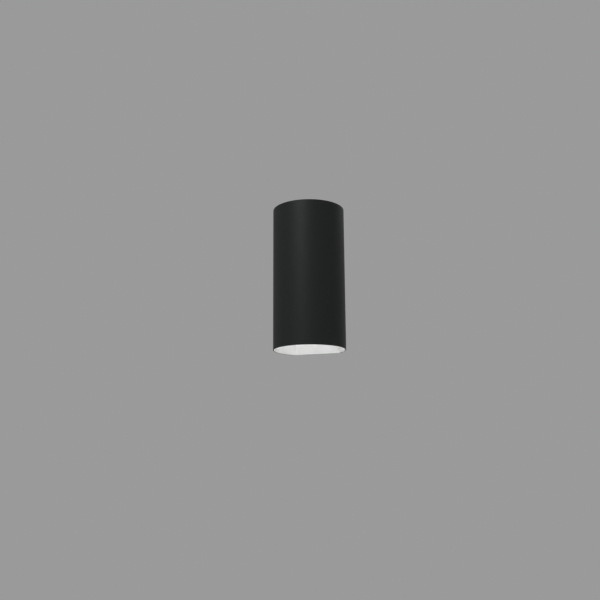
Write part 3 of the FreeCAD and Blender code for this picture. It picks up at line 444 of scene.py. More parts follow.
def capsuleGlass():
    # drawn quartz tube, fire-closed at the crown: clear, faintly uneven, and no shadow to the rods' light
    look = {"colour": "#ffffff", "shade": "#f4f8f8", "drawn": 6.25, "relief": (0.12, 0.1),
            "shadow": (0.95, 0.96, 0.96, 1), "turns": 4.0}
    material, tree, shader = newMaterial("capsuleGlass", IOR=1.46, Roughness=0.02, Transmission_Weight=1.0)
    drawn = addNode(tree, "ShaderNodeTexNoise", None, {"Scale": 1 / look["drawn"], "Detail": 1.0},
                    {"Vector": objectPoint(tree)}).outputs["Fac"]
    tint = (drawn, linearColour(look["shade"]), linearColour(look["colour"]))
    finishShader(tree, shader, tint, relief=(drawn, *look["relief"]))
    # light caught inside the thick tip is let out after a few turns, or the tip would be black
    path = addNode(tree, "ShaderNodeLightPath")
    clear = addNode(tree, "ShaderNodeBsdfTransparent", None, {"Color": look["shadow"]})
    caught = addNode(tree, "ShaderNodeMath", {"operation": "GREATER_THAN"}, {1: look["turns"]},
                     {0: path.outputs["Ray Depth"]})
    free = addNode(tree, "ShaderNodeMath", {"operation": "MAXIMUM"}, None,
                   {0: path.outputs["Is Shadow Ray"], 1: caught.outputs[0]})
    through = addNode(tree, "ShaderNodeMixShader", None, None,
                      {0: free.outputs[0], 1: shader.outputs[0], 2: clear.outputs[0]})
    tree.links.new(through.outputs[0], tree.nodes["Material Output"].inputs["Surface"])
    return material


def litPhosphor():
    # silicone with yellow phosphor over a row of dies: grainy yellow-white, glowing, brighter over each die
    look = {"colour": "#f3c65a", "shade": "#e2ad3f", "grain": 1 / 3, "glow": "#f4f8ff", "strength": 23,
            "between": 0.7, "pitch": 1.0}
    material, tree, shader = newMaterial("litPhosphor", Roughness=0.5, IOR=1.41,
                                         Emission_Color=linearColour(look["glow"]))
    point = objectPoint(tree)
    grain = addNode(tree, "ShaderNodeTexNoise", None, {"Scale": 1 / look["grain"], "Detail": 2.0},
                    {"Vector": point}).outputs["Fac"]
    dies = addNode(tree, "ShaderNodeTexWave", {"wave_type": "BANDS", "bands_direction": "Z"},
                   {"Scale": waveScale / look["pitch"]}, {"Vector": point})
    glow = addNode(tree, "ShaderNodeMapRange", None,
                   {"To Min": look["between"] * look["strength"], "To Max": look["strength"]},
                   {"Value": dies.outputs["Fac"]})
    tree.links.new(glow.outputs["Result"], shader.inputs["Emission Strength"])
    finishShader(tree, shader, (grain, linearColour(look["shade"]), linearColour(look["colour"])))
    return material


# how many steps a curve has: the tube's arc, its corner and its rim, a turn of a thread, a lead's bend,
# its ring and its core's ring
steps = {"arc": 181, "corner": 8, "rim": 4, "turn": 20, "bend": 10, "sleeve": 20, "core": 12}


def finishTree(tree, geometry, finish=None):
    # the last steps of a tree: shading, real geometry, and its finish unless it has set that itself
    geometry = addNode(tree, "GeometryNodeSetShadeSmooth", None, None, {"Geometry": geometry}).outputs[0]
    geometry = addNode(tree, "GeometryNodeRealizeInstances", None, None, {"Geometry": geometry}).outputs[0]
    if finish is not None:
        geometry = addNode(tree, "GeometryNodeSetMaterial", None, None,
                           {"Geometry": geometry, "Material": finish}).outputs[0]
    addNode(tree, "NodeGroupOutput", None, None, {"Geometry": geometry})
    return tree


def setOnPoints(tree, size, shape):
    # a copy of the shape on every point of the seed mesh, turned as the point says
    turn = addNode(tree, "GeometryNodeInputNamedAttribute", {"data_type": "FLOAT_VECTOR"}, {"Name": "turn"})
    copies = addNode(tree, "GeometryNodeInstanceOnPoints", None, None,
                     {"Points": size["Geometry"], "Instance": shape, "Rotation": turn.outputs["Attribute"]})
    return finishTree(tree, copies.outputs[0], size["Finish"])


def grow(name, tree, inputs, seed=None):
    # runs a tree once on an empty mesh, or on seed, and keeps what it makes as a plain mesh
    piece = bpy.data.objects.new(name, seed or bpy.data.meshes.new(name))
    bpy.context.collection.objects.link(piece)
    modifier = piece.modifiers.new("shape", "NODES")
    modifier.node_group = tree
    sockets = {item.name: item.identifier for item in tree.interface.items_tree if item.in_out == "INPUT"}
    for label, value in inputs.items():
        modifier[sockets[label]] = value
    bpy.context.view_layer.update()
    return holdShape(piece)


def makeSweptTubeTree():
    # a rounded strip swept round a D-shaped path, then drilled, with its own finish on the inner side
    tree, size = newTree("sweptTube", {
        "Radius": ("Float", 0.05), "Start Angle": ("Float", 0.0), "Sweep Angle": ("Float", 3.0),
        "Corner": ("Float", 0.003), "Wall": ("Float", 0.001), "Height": ("Float", 0.2),
        "Rim": ("Float", 0.0003), "Centre": ("Vector", (0, 0, 0)), "Cutters": ("Object", None),
        "Outer Finish": ("Material", None), "Inner Finish": ("Material", None)})
    arc = addNode(tree, "GeometryNodeCurveArc", {"mode": "RADIUS"}, {"Resolution": steps["arc"]},
                  {"Radius": size["Radius"], "Start Angle": size["Start Angle"],
                   "Sweep Angle": size["Sweep Angle"]})
    loop = addNode(tree, "GeometryNodeSetSplineCyclic", None, {"Cyclic": True},
                   {"Geometry": arc.outputs["Curve"]})
    ends = addNode(tree, "GeometryNodeCurveEndpointSelection")
    corner = addNode(tree, "ShaderNodeMath", {"operation": "MULTIPLY"}, None,
                     {0: ends.outputs[0], 1: size["Corner"]})
    path = addNode(tree, "GeometryNodeFilletCurve", {"mode": "POLY"}, {"Count": steps["corner"]},
                   {"Curve": loop.outputs[0], "Radius": corner.outputs[0]})
    upright = addNode(tree, "GeometryNodeSetCurveNormal", {"mode": "Z_UP"}, None, {"Curve": path.outputs[0]})
    strip = addNode(tree, "GeometryNodeCurvePrimitiveQuadrilateral", None, None,
                    {"Width": size["Wall"], "Height": size["Height"]})
    eased = addNode(tree, "GeometryNodeFilletCurve", {"mode": "POLY"}, {"Count": steps["rim"]},
                    {"Curve": strip.outputs[0], "Radius": size["Rim"]})
    swept = addNode(tree, "GeometryNodeCurveToMesh", None, None,
                    {"Curve": upright.outputs[0], "Profile Curve": eased.outputs[0]})
    placed = addNode(tree, "GeometryNodeTransform", None, None,
                     {"Geometry": swept.outputs[0], "Translation": size["Centre"]})
    cutters = addNode(tree, "GeometryNodeObjectInfo", None, None, {"Object": size["Cutters"]})
    drilled = addNode(tree, "GeometryNodeMeshBoolean", {"operation": "DIFFERENCE", "solver": "EXACT"}, None,
                      {"Mesh 1": placed.outputs[0], "Mesh 2": cutters.outputs["Geometry"]})
    coated = addNode(tree, "GeometryNodeSetMaterial", None, None,
                     {"Geometry": drilled.outputs[0], "Material": size["Outer Finish"]})
    position = addNode(tree, "GeometryNodeInputPosition")
    fromAxis = addNode(tree, "ShaderNodeVectorMath", {"operation": "SUBTRACT"}, None,
                       {0: position.outputs[0], 1: size["Centre"]})
    level = addNode(tree, "ShaderNodeVectorMath", {"operation": "MULTIPLY"}, {1: (1, 1, 0)},
                    {0: fromAxis.outputs[0]})
    outward = addNode(tree, "ShaderNodeVectorMath", {"operation": "NORMALIZE"}, None, {0: level.outputs[0]})
    normal = addNode(tree, "GeometryNodeInputNormal")
    facing = addNode(tree, "ShaderNodeVectorMath", {"operation": "DOT_PRODUCT"}, None,
                     {0: normal.outputs[0], 1: outward.outputs[0]})
    # the flat back's inner side faces the axis least squarely at its corners; rims and cut edges don't at all
    facesAxis = -0.6
    inner = addNode(tree, "FunctionNodeCompare", {"operation": "LESS_THAN"}, {"B": facesAxis},
                    {"A": facing.outputs["Value"]})
    lined = addNode(tree, "GeometryNodeSetMaterial", None, None,
                    {"Geometry": coated.outputs[0], "Selection": inner.outputs[0],
                     "Material": size["Inner Finish"]})
    return finishTree(tree, lined.outputs[0])


def makeRepeatTree():
    # one piece, as it is, for rivets and nuts
    tree, size = newTree("repeated", {"Geometry": ("Geometry", None), "Piece": ("Object", None),
                                      "Finish": ("Material", None)})
    piece = addNode(tree, "GeometryNodeObjectInfo", None, None, {"Object": size["Piece"]})
    return setOnPoints(tree, size, piece.outputs["Geometry"])


def makeScrewTree():
    # a head and core with a thread wound round it, for screws and studs
    tree, size = newTree("screws", {
        "Geometry": ("Geometry", None), "Piece": ("Object", None), "Thread Radius": ("Float", 0.002),
        "Pitch": ("Float", 0.0007), "Thread Foot": ("Float", 0.0), "Thread Length": ("Float", 0.005),
        "Finish": ("Material", None)})
    half = addNode(tree, "ShaderNodeMath", {"operation": "MULTIPLY"}, {1: 0.5}, {0: size["Pitch"]})
    middle = addNode(tree, "ShaderNodeMath", {"operation": "SUBTRACT"}, None,
                     {0: size["Thread Radius"], 1: half.outputs[0]})
    wound = addNode(tree, "ShaderNodeMath", {"operation": "SUBTRACT"}, None,
                    {0: size["Thread Length"], 1: size["Pitch"]})
    turns = addNode(tree, "ShaderNodeMath", {"operation": "DIVIDE"}, None,
                    {0: wound.outputs[0], 1: size["Pitch"]})
    spiral = addNode(tree, "GeometryNodeCurveSpiral", None, {"Resolution": steps["turn"]},
                     {"Rotations": turns.outputs[0], "Start Radius": middle.outputs[0],
                      "End Radius": middle.outputs[0], "Height": wound.outputs[0]})
    # a ring of four points is a thread's V
    ridge = addNode(tree, "GeometryNodeCurvePrimitiveCircle", {"mode": "RADIUS"}, {"Resolution": 4},
                    {"Radius": half.outputs[0]})
    thread = addNode(tree, "GeometryNodeCurveToMesh", None, {"Fill Caps": True},
                     {"Curve": spiral.outputs[0], "Profile Curve": ridge.outputs[0]})
    foot = addNode(tree, "ShaderNodeMath", {"operation": "ADD"}, None,
                   {0: size["Thread Foot"], 1: half.outputs[0]})
    lift = addNode(tree, "ShaderNodeCombineXYZ", None, None, {"Z": foot.outputs[0]})
    lifted = addNode(tree, "GeometryNodeTransform", None, None,
                     {"Geometry": thread.outputs[0], "Translation": lift.outputs[0]})
    piece = addNode(tree, "GeometryNodeObjectInfo", None, None, {"Object": size["Piece"]})
    both = addNode(tree, "GeometryNodeJoinGeometry")
    tree.links.new(lifted.outputs[0], both.inputs[0])
    tree.links.new(piece.outputs["Geometry"], both.inputs[0])
    return setOnPoints(tree, size, both.outputs[0])


def makeLeadTree():
    # an insulated lead along the seed's points, rounded at each by its own bend, with a bare core at its end
    tree, size = newTree("leads", {
        "Geometry": ("Geometry", None), "Sleeve Radius": ("Float", 0.0009), "Core Radius": ("Float", 0.0005),
        "Core Start": ("Vector", (0, 0, 0)), "Core End": ("Vector", (0, 0, 0)),
        "Sleeve Finish": ("Material", None), "Core Finish": ("Material", None)})
    bend = addNode(tree, "GeometryNodeInputNamedAttribute", {"data_type": "FLOAT"}, {"Name": "bend"})
    line = addNode(tree, "GeometryNodeMeshToCurve", None, None, {"Mesh": size["Geometry"]})
    path = addNode(tree, "GeometryNodeFilletCurve", {"mode": "POLY"}, {"Count": steps["bend"]},
                   {"Curve": line.outputs[0], "Radius": bend.outputs["Attribute"]})
    run = addNode(tree, "GeometryNodeSplineParameter")
    alongRun = addNode(tree, "GeometryNodeCaptureAttribute")
    alongRun.capture_items.new("FLOAT", "Length")
    tree.links.new(path.outputs[0], alongRun.inputs["Geometry"])
    tree.links.new(run.outputs["Length"], alongRun.inputs["Length"])
    ring = addNode(tree, "GeometryNodeCurvePrimitiveCircle", {"mode": "RADIUS"},
                   {"Resolution": steps["sleeve"]}, {"Radius": size["Sleeve Radius"]})
    # the sleeve's own UV map: mm along the run, and from -1 to 1 across it
    place = addNode(tree, "GeometryNodeInputPosition")
    across = addNode(tree, "ShaderNodeSeparateXYZ", None, None, {"Vector": place.outputs[0]})
    share = addNode(tree, "ShaderNodeMath", {"operation": "DIVIDE"}, None,
                    {0: across.outputs["X"], 1: size["Sleeve Radius"]})
    aroundRing = addNode(tree, "GeometryNodeCaptureAttribute")
    aroundRing.capture_items.new("FLOAT", "Across")
    tree.links.new(ring.outputs[0], aroundRing.inputs["Geometry"])
    tree.links.new(share.outputs[0], aroundRing.inputs["Across"])
    sleeve = addNode(tree, "GeometryNodeCurveToMesh", None, {"Fill Caps": True},
                     {"Curve": alongRun.outputs["Geometry"], "Profile Curve": aroundRing.outputs["Geometry"]})
    millimetres = addNode(tree, "ShaderNodeMath", {"operation": "MULTIPLY"}, {1: 1000.0},
                          {0: alongRun.outputs["Length"]})
    chart = addNode(tree, "ShaderNodeCombineXYZ", None, None,
                    {"X": millimetres.outputs[0], "Y": aroundRing.outputs["Across"]})
    mapped = addNode(tree, "GeometryNodeStoreNamedAttribute", {"data_type": "FLOAT2", "domain": "CORNER"},
                     {"Name": "along"}, {"Geometry": sleeve.outputs[0], "Value": chart.outputs[0]})
    covered = addNode(tree, "GeometryNodeSetMaterial", None, None,
                      {"Geometry": mapped.outputs[0], "Material": size["Sleeve Finish"]})
    coreLine = addNode(tree, "GeometryNodeCurvePrimitiveLine", None, None,
                       {"Start": size["Core Start"], "End": size["Core End"]})
    coreRing = addNode(tree, "GeometryNodeCurvePrimitiveCircle", {"mode": "RADIUS"},
                       {"Resolution": steps["core"]}, {"Radius": size["Core Radius"]})
    core = addNode(tree, "GeometryNodeCurveToMesh", None, {"Fill Caps": True},
                   {"Curve": coreLine.outputs[0], "Profile Curve": coreRing.outputs[0]})
    bared = addNode(tree, "GeometryNodeSetMaterial", None, None,
                    {"Geometry": core.outputs[0], "Material": size["Core Finish"]})
    both = addNode(tree, "GeometryNodeJoinGeometry")
    tree.links.new(bared.outputs[0], both.inputs[0])
    tree.links.new(covered.outputs[0], both.inputs[0])
    return finishTree(tree, both.outputs[0])


def aimed(direction, spin=0):
    # turns a piece's own Z to the direction, after a spin about it in degrees
    return up.rotation_difference(direction) @ Quaternion(up, math.radians(spin))


def pointSeed(name, places):
    # places: (position in mm, direction, spin) for each copy of a piece
    seed = bpy.data.meshes.new(name)
    seed.from_pydata([[mm(v) for v in position] for position, _, _ in places], [], [])
    turn = seed.attributes.new("turn", "FLOAT_VECTOR", "POINT")
    for n, (_, direction, spin) in enumerate(places):
        turn.data[n].vector = aimed(direction, spin).to_euler()
    return seed


def setDown(piece, position, direction, spin=0):
    # moves the mesh itself, so that the piece's object stays at the origin
    turn = aimed(direction, spin).to_matrix().to_4x4()
    piece.data.transform(Matrix.Translation([mm(v) for v in position]) @ turn)
    return piece


def repeated(name, master, places, material, thread=None):
    # the master on each of the places; thread: (radius, pitch, foot, length) in mm, on the master's own Z
    inputs = {"Piece": master, "Finish": material}
    if thread:
        labels = ("Thread Radius", "Pitch", "Thread Foot", "Thread Length")
        inputs.update({label: mm(value) for label, value in zip(labels, thread)})
    piece = grow(name, screwTree if thread else repeatTree, inputs, pointSeed(name, places))
    bpy.data.objects.remove(master)
    evenShading(piece)
    return painted(piece, None)


sweptTubeTree = makeSweptTubeTree()
repeatTree = makeRepeatTree()
screwTree = makeScrewTree()
leadTree = makeLeadTree()

blackCoat = powderCoatBlack()
whiteCoat = powderCoatWhite()
zinc = zincPlatedSteel()
nickelled = nickelPlatedBrass()
brass = rolledMetal("turnedBrass", "#e2c67e", "#cdad66", (0.34, 0.22))  # pale yellow, bright
bronze = rolledMetal("springBronze", "#d6aa72", "#bf925c", (0.38, 0.25))  # redder and duller than the brass
nickelWire = rolledMetal("nickelWire", "#c9c6be", "#aaa79f", (0.32, 0.2), 1.2)  # warm grey, drawn bright
aluminium = rolledMetal("aluminiumRivet", "#cfd1d2", "#b4b7b9", (0.48, 0.34), 1.0)  # pale, nearly matt
copper = rolledMetal("bareCopper", "#d08a5e", "#b06c44", (0.4, 0.25), 0.8)  # freshly bared, pink
rubber = mouldedRubber()
steatite = firedCeramic("pressedSteatite", "#e9e2d3", "#dbd2c0", "#8d8069", 0.3, (0.5, 0.66))
bulbCeramic = firedCeramic("sinteredCeramic", "#f2f0ea", "#e8e5dd", "#c9c4b8", 0.22, (0.3, 0.42))
nylon = translucentNylon()
glass = capsuleGlass()
phosphor = litPhosphor()
brownLead = leadInsulation("brownLeadSleeve", "#5b3420")
blueLead = leadInsulation("blueLeadSleeve", "#2458a6")
earthLead = leadInsulation("stripedLeadSleeve", "#3f8a35", "#e3cf3c")
print("finishes ready")


# sizes and places from here on are in mm
tube = {"radius": 50, "wall": 1.2, "corner": 3.0, "height": 200, "rim": 0.3, "axisY": -42.987, "backY": -3.6,
        "window": (36, 30, 4), "studHole": 5.0, "slotLength": 8.0, "rivets": (23, 13), "rivetHole": 3.2}


def rivetSpots():
    # (x, z) of the four rivets that hold the lamp carrier in the tube
    x, z = tube["rivets"]
    return [(sx * x, sz * z) for sx in (-1, 1) for sz in (-1, 1)]


def makeTube():
    # the back has a window for the wiring, a hole and a slot for the studs, and four rivet holes
    hole, narrow = tube["studHole"], tube["rivetHole"]
    outlines = [roundedOutline(*tube["window"]),
                roundedOutline(hole, hole, hole / 2, (0, studHeight)),
                roundedOutline(hole, tube["slotLength"], hole / 2, (0, -studHeight))]
    outlines += [roundedOutline(narrow, narrow, narrow / 2, spot) for spot in rivetSpots()]
    shape = bmesh.new()
    for outline in outlines:
        tool = bar("tool", outline, tube["backY"] + tube["wall"], 3 * tube["wall"])
        shape.from_mesh(tool.data)
        bpy.data.objects.remove(tool)
    cutters = newPiece("cutters", shape)
    # the path runs half way through the tube's wall
    half = tube["wall"] / 2
    middle, flat = tube["radius"] - half, tube["backY"] - tube["axisY"] - half
    tilt = math.asin(flat / middle)
    piece = grow("tubeShell", sweptTubeTree, {
        "Radius": mm(middle), "Start Angle": math.pi - tilt, "Sweep Angle": math.pi + 2 * tilt,
        "Corner": mm(tube["corner"] - half), "Wall": mm(tube["wall"]), "Height": mm(tube["height"]),
        "Rim": mm(tube["rim"]), "Centre": (0, mm(tube["axisY"]), 0), "Cutters": cutters,
        "Outer Finish": blackCoat, "Inner Finish": whiteCoat})
    bpy.data.objects.remove(cutters)
    evenShading(piece, 35)
    return standFor(painted(piece, None), "shade_tube")


makeTube()
print("tube done")


# the wall bracket's two studs, and the rubber ring in its cable hole
bracketStuds = {"rootY": -2.3, "headRadius": 3.2, "headHeight": 0.8, "headEase": 0.15, "radius": 2.0,
                "press": 1.3, "runOut": 0.3, "length": 9.8, "tip": 0.5, "pitch": 0.7, "threadFoot": 1.5,
                "threadLength": 7.9}
cableRing = {"bore": 6.0, "groove": 10.0, "flange": 12.5, "flangeThick": 0.9, "rear": 1.0, "sheet": 1.2,
             "soft": 0.3, "ease": 0.1, "lip": 0.5, "lipEase": 0.15}


def pressedStud(stud):
    # a flat head, a plain length that is pressed into the sheet, then the thread's core with a bevelled tip
    wide, high, ease = stud["headRadius"], stud["headHeight"], stud["headEase"]
    radius, press, end, tip = stud["radius"], stud["press"], stud["length"], stud["tip"]
    core = radius - stud["pitch"] / 2
    foot = [(0, 0), (wide - ease, 0), (wide, ease)] if ease else [(0, 0), (wide, 0)]
    shank = [(radius, high), (radius, press), (core, press + stud["runOut"]), (core, end - tip),
             (core - tip, end)]
    return turned("stud", [*foot, (wide, high), *shank, (0, end)], 40)


def threadOf(screw):
    return [screw[key] for key in ("radius", "pitch", "threadFoot", "threadLength")]


def makeStuds():
    places = [((0, bracketStuds["rootY"], side * studHeight), -toWall, 0) for side in levels.values()]
    piece = repeated("bracketStuds", pressedStud(bracketStuds), places, zinc,
                     threadOf(bracketStuds))
    return standFor(piece, "bracket_studs")


def makeCableRing():
    # the outline runs up the outside, over the groove that grips the sheet, and back through the bore
    bore, flange, soft, ease, lip, lipEase = [cableRing[key] for key in
                                              ("bore", "flange", "soft", "ease", "lip", "lipEase")]
    rear, groove = cableRing["rear"], cableRing["groove"]
    front = rear + cableRing["sheet"]
    back, nose = rear - cableRing["flangeThick"], front + cableRing["flangeThick"]
    rearFlange = [(flange - soft, back), (flange - ease, back + ease), (flange, back + soft),
                  (flange, rear - ease), (flange - ease, rear)]
    frontFlange = [(flange - ease, front), (flange, front + ease), (flange, nose - soft),
                   (flange - ease, nose - ease), (flange - soft, nose)]
    mouths = [(bore + lip, nose), (bore + lipEase, nose - lipEase), (bore, nose - lip),
              (bore, (back + nose) / 2), (bore, back + lip), (bore + lipEase, back + lipEase),
              (bore + lip, back)]
    profile = rearFlange + [(groove, rear), (groove, front)] + frontFlange + mouths
    piece = setDown(turned("cableRing", profile, 96), (0, 0, 0), -toWall)
    evenShading(piece, 50)
    return standFor(painted(piece, rubber), "cable_grommet")


dressed("wall_bracket", zinc, 0.2)
makeStuds()
makeCableRing()
print("wall bracket done")


# one cap nut and one washer on each stud, inside the tube
capNut = {"seatY": -5.7, "radius": 4.5, "grip": 7.4, "dome": 2.2, "neck": 3.8, "shoulder": 0.02, "bore": 2.1,
          "boreDepth": 8.0, "boreTip": 0.9, "mouth": 0.25, "knurls": 24, "knurlDepth": 0.35, "knurlEase": 0.4,
          "endRadius": 4.1}
nutWasher = {"seatY": -4.9, "radius": 5.0, "thick": 0.8, "bore": 2.1, "boreEase": (0.15, 0.15),
             "edgeEase": (0.15, 0.15)}


def makeCapNut(level):
    # the bore from its tip down to the mouth, then the knurled grip, its eased ends and the dome
    bore, radius, grip, ease = capNut["bore"], capNut["radius"], capNut["grip"], capNut["knurlEase"]
    neck, dome = capNut["neck"], capNut["dome"]
    ball = (neck ** 2 + dome ** 2) / (2 * dome)
    deep, mouth, end = capNut["boreDepth"], capNut["mouth"], capNut["endRadius"]
    profile = [(0, deep), (bore, deep - capNut["boreTip"]), (bore, mouth), (bore + mouth, 0), (end, 0),
               (radius, ease), (radius, grip - ease), (end, grip - capNut["shoulder"]), (neck, grip)]
    for share in (0.95, 0.85, 0.72, 0.56, 0.38, 0.2, 0):
        reach = neck * share
        profile.append((reach, grip + math.sqrt(ball ** 2 - reach ** 2) - (ball - dome)))
    knurls = (capNut["knurls"], capNut["knurlDepth"], ease / 2, grip - ease / 2)
    nut = turned(level + "CapNut", profile, 4 * capNut["knurls"], knurls)
    setDown(nut, (0, capNut["seatY"], levels[level] * studHeight), -toWall)
    evenShading(nut, 40)
    return standFor(painted(nut, nickelled), level + "_cap_nut")


def washerProfile(washer):
    # the eases are taken off both faces: so much across, so much through the thickness
    bore, radius, thick = washer["bore"], washer["radius"], washer["thick"]
    (boreAcross, boreThrough), (edgeAcross, edgeThrough) = washer["boreEase"], washer["edgeEase"]
    return [(bore, boreThrough), (bore + boreAcross, 0), (radius - edgeAcross, 0), (radius, edgeThrough),
            (radius, thick - edgeThrough), (radius - edgeAcross, thick), (bore + boreAcross, thick),
            (bore, thick - boreThrough)]


def makeNutWasher(level):
    piece = turned(level + "NutWasher", washerProfile(nutWasher), 72)
    setDown(piece, (0, nutWasher["seatY"], levels[level] * studHeight), -toWall)
    evenShading(piece, 30)
    return standFor(painted(piece, nickelled), level + "_nut_washer")


for level in levels:
    makeCapNut(level)
    makeNutWasher(level)
print("cap nuts done")


# the carrier's rivets through the back of the tube, and the two in the foot of the block's bracket
blindRivet = {"headRadius": 3.0, "headHeight": 0.9, "radius": 1.6, "grip": 2.2, "tailRadius": 2.3,
              "tail": 1.8, "pin": 0.95}
footRivet = {"radius": 1.2, "headRadius": 2.2, "headHeight": 0.7, "grip": 2.0, "spots": (3.1, -18.09, -22)}


def makeBlindRivets():
    # a dished head with the broken pin in its middle, and the bulged tail behind the sheets
    pin, high, wide, radius = [blindRivet[key] for key in ("pin", "headHeight", "headRadius", "radius")]
    behind, bulged = -blindRivet["grip"], blindRivet["tailRadius"]
    end = behind - blindRivet["tail"]
    dimple = [(0, 0.25), (pin - 0.2, 0.25), (pin, high - 0.12), (pin + 0.3, high)]
    head = [(2.0, high - 0.08), (2.6, 0.55), (wide - 0.08, 0.25), (wide, 0.08), (wide, 0)]
    shank = [(radius, 0), (radius, behind)]
    bulge = [(bulged - 0.2, behind), (bulged, behind - 0.5), (bulged - 0.1, end + 0.6), (1.7, end + 0.1),
             (1.3, end)]
    pinEnd = [(pin, end + 0.15), (pin - 0.1, end + 0.5), (0.5, end + 0.25), (0, end + 0.2)]
    rivet = turned("rivet", dimple + head + shank + bulge + pinEnd, 40)
    places = [((x, tube["backY"], z), toWall, 0) for x, z in rivetSpots()]
    piece = repeated("carrierRivets", rivet, places, aluminium)
    return standFor(piece, "carrier_rivets")


def makeFootRivets():
    # a low dome at each end
    radius, high, wide, grip = [footRivet[key] for key in ("radius", "headHeight", "headRadius", "grip")]
    dome = [(0, high), (0.9, high - 0.03), (1.6, high - 0.16), (wide - 0.15, 0.3), (wide, 0.08), (wide, 0)]
    profile = [(reach, -rise) for reach, rise in dome] + [(radius, 0), (radius, grip)]
    profile += [(reach, grip + rise) for reach, rise in reversed(dome)]
    x, y, z = footRivet["spots"]
    places = [((side * x, y, z), up, 0) for side in (-1, 1)]
    piece = repeated("footRivets", turned("rivet", profile, 36), places, aluminium)
    return standFor(piece, "terminal_bracket_rivets")


dressed("lamp_carrier", whiteCoat, 0.15)
makeBlindRivets()
makeFootRivets()
print("carrier done")


# the screws and nuts of the lampholders, the block and the earth stud
holderScrew = {"radius": 1.5, "pitch": 0.5, "headRadius": 2.7, "headHeight": 1.9, "length": 19.8, "x": 12,
               "seatZ": 22, "threadFoot": -19.5, "threadLength": 8.0}
blockScrew = {"radius": 1.5, "pitch": 0.5, "headRadius": 2.0, "headHeight": 1.6, "length": 12.1, "x": 4.5,
              "seatY": -16.09, "z": 3.5, "threadFoot": -11.8, "threadLength": 4.0}
panHead = {"ease": 0.08, "tip": 0.35, "neck": (0.05, 0.2),
           "crown": ((0, 0.5), (0.22, 0.76), (0.75, 0.93), (1.5, 1.0))}
crossRecess = {"length": 3.0, "width": 0.55, "depth": 1.15, "taper": 0.55}
hexForm = {"flatGap": 0.05, "cornerEase": 0.4, "past": 0.1, "mouth": 0.3}
smallNut = {"width": 5.5, "height": 2.2, "bore": 1.5, "seatZ": 5}
earthNut = {"width": 7.0, "height": 3.2, "bore": 2.0, "seatZ": -19.6}


def wedge(length, width, top, depth, taper):
    # one arm of a recess: a slot that narrows as it goes down, on the piece's own Z
    above = 0.2  # it starts clear of the head, so that the cut is clean
    shape = bmesh.new()
    corners = []
    for z, share in ((top + above, 1.0), (top - depth, taper)):
        for sx, sy in ((-1, -1), (1, -1), (1, 1), (-1, 1)):
            corners.append(shape.verts.new((mm(sx * length / 2 * share), mm(sy * width / 2), mm(z))))
    shape.faces.new(corners[:4])
    shape.faces.new(corners[4:])
    for n in range(4):
        m = (n + 1) % 4
        shape.faces.new((corners[n], corners[m], corners[4 + m], corners[4 + n]))
    bmesh.ops.recalc_face_normals(shape, faces=shape.faces)
    return newPiece("arm", shape)


def panHeadBlank(screw):
    # own Z points out of the head, and z = 0 is the face that it clamps
    top, wide, low = screw["headHeight"], screw["headRadius"], -screw["length"]
    core, tip, ease = screw["radius"] - screw["pitch"] / 2, panHead["tip"], panHead["ease"]
    share = wide / holderScrew["headRadius"]  # the crown and the recess go with the head's width
    narrower, below = panHead["neck"]
    profile = [(0, low), (core - tip, low), (core, low + tip), (core, -below),
               (screw["radius"] - narrower, 0), (wide - ease, 0), (wide, ease)]
    profile += [(wide - inward * share, top * rise) for inward, rise in panHead["crown"]] + [(0, top)]
    recess = (crossRecess["width"], top, crossRecess["depth"], crossRecess["taper"])
    arms = [wedge(crossRecess["length"] * share, *recess) for _ in range(2)]
    arms[1].data.transform(Quaternion(up, math.pi / 2).to_matrix().to_4x4())
    return carve(turned("blank", profile, 40), arms)


def makeHolderScrews():
    # each head stops at its own angle, as a driver leaves it
    places = [((sx * holderScrew["x"], tube["axisY"], side * holderScrew["seatZ"]), up * side, 17 + 29 * n)
              for n, (sx, side) in enumerate([(-1, 1), (1, 1), (-1, -1), (1, -1)])]
    piece = repeated("holderScrews", panHeadBlank(holderScrew), places, zinc,
                     threadOf(holderScrew))
    return standFor(piece, "holder_screws")


def makeBlockScrews():
    places = [((side * blockScrew["x"], blockScrew["seatY"], blockScrew["z"]), toWall, 40 * side)
              for side in (-1, 1)]
    piece = repeated("blockScrews", panHeadBlank(blockScrew), places, zinc,
                     threadOf(blockScrew))
    return standFor(piece, "terminal_fixing_screws")


def hexNut(nut):
    # own Z points away from the face that it sits on; the corners are turned off at both ends
    corner, high, bore, mouth = nut["width"] / math.sqrt(3), nut["height"], nut["bore"], hexForm["mouth"]
    flat, ease, past = nut["width"] / 2 - hexForm["flatGap"], hexForm["cornerEase"], corner + hexForm["past"]
    sides = [math.radians(60 * n) for n in range(6)]
    prism = bar("nut", [(math.cos(side) * corner, math.sin(side) * corner) for side in sides], 0, high)
    prism.data.transform(toWall.rotation_difference(-up).to_matrix().to_4x4())
    profile = [(bore, mouth), (bore + mouth, 0), (flat, 0), (past, ease), (past, high - ease), (flat, high),
               (bore + mouth, high), (bore, high - mouth)]
    return carve(prism, [turned("lathe", profile, 72)], "INTERSECT")


def makeNuts():
    places = [((sx * holderScrew["x"], tube["axisY"], side * smallNut["seatZ"]), up * -side, 9 + 14 * sx)
              for sx in (-1, 1) for side in (1, -1)]
    standFor(repeated("holderNuts", hexNut(smallNut), places, zinc), "holder_nuts")
    place = [((earthPoint["x"], earthPoint["y"], earthNut["seatZ"]), up, 11)]
    standFor(repeated("earthNut", hexNut(earthNut), place, brass), "earth_nut")


for level in levels:
    dressed(level + "_holder_body", steatite, 0.25)
    dressed(level + "_holder_contacts", bronze)
makeHolderScrews()
print("lampholders done")


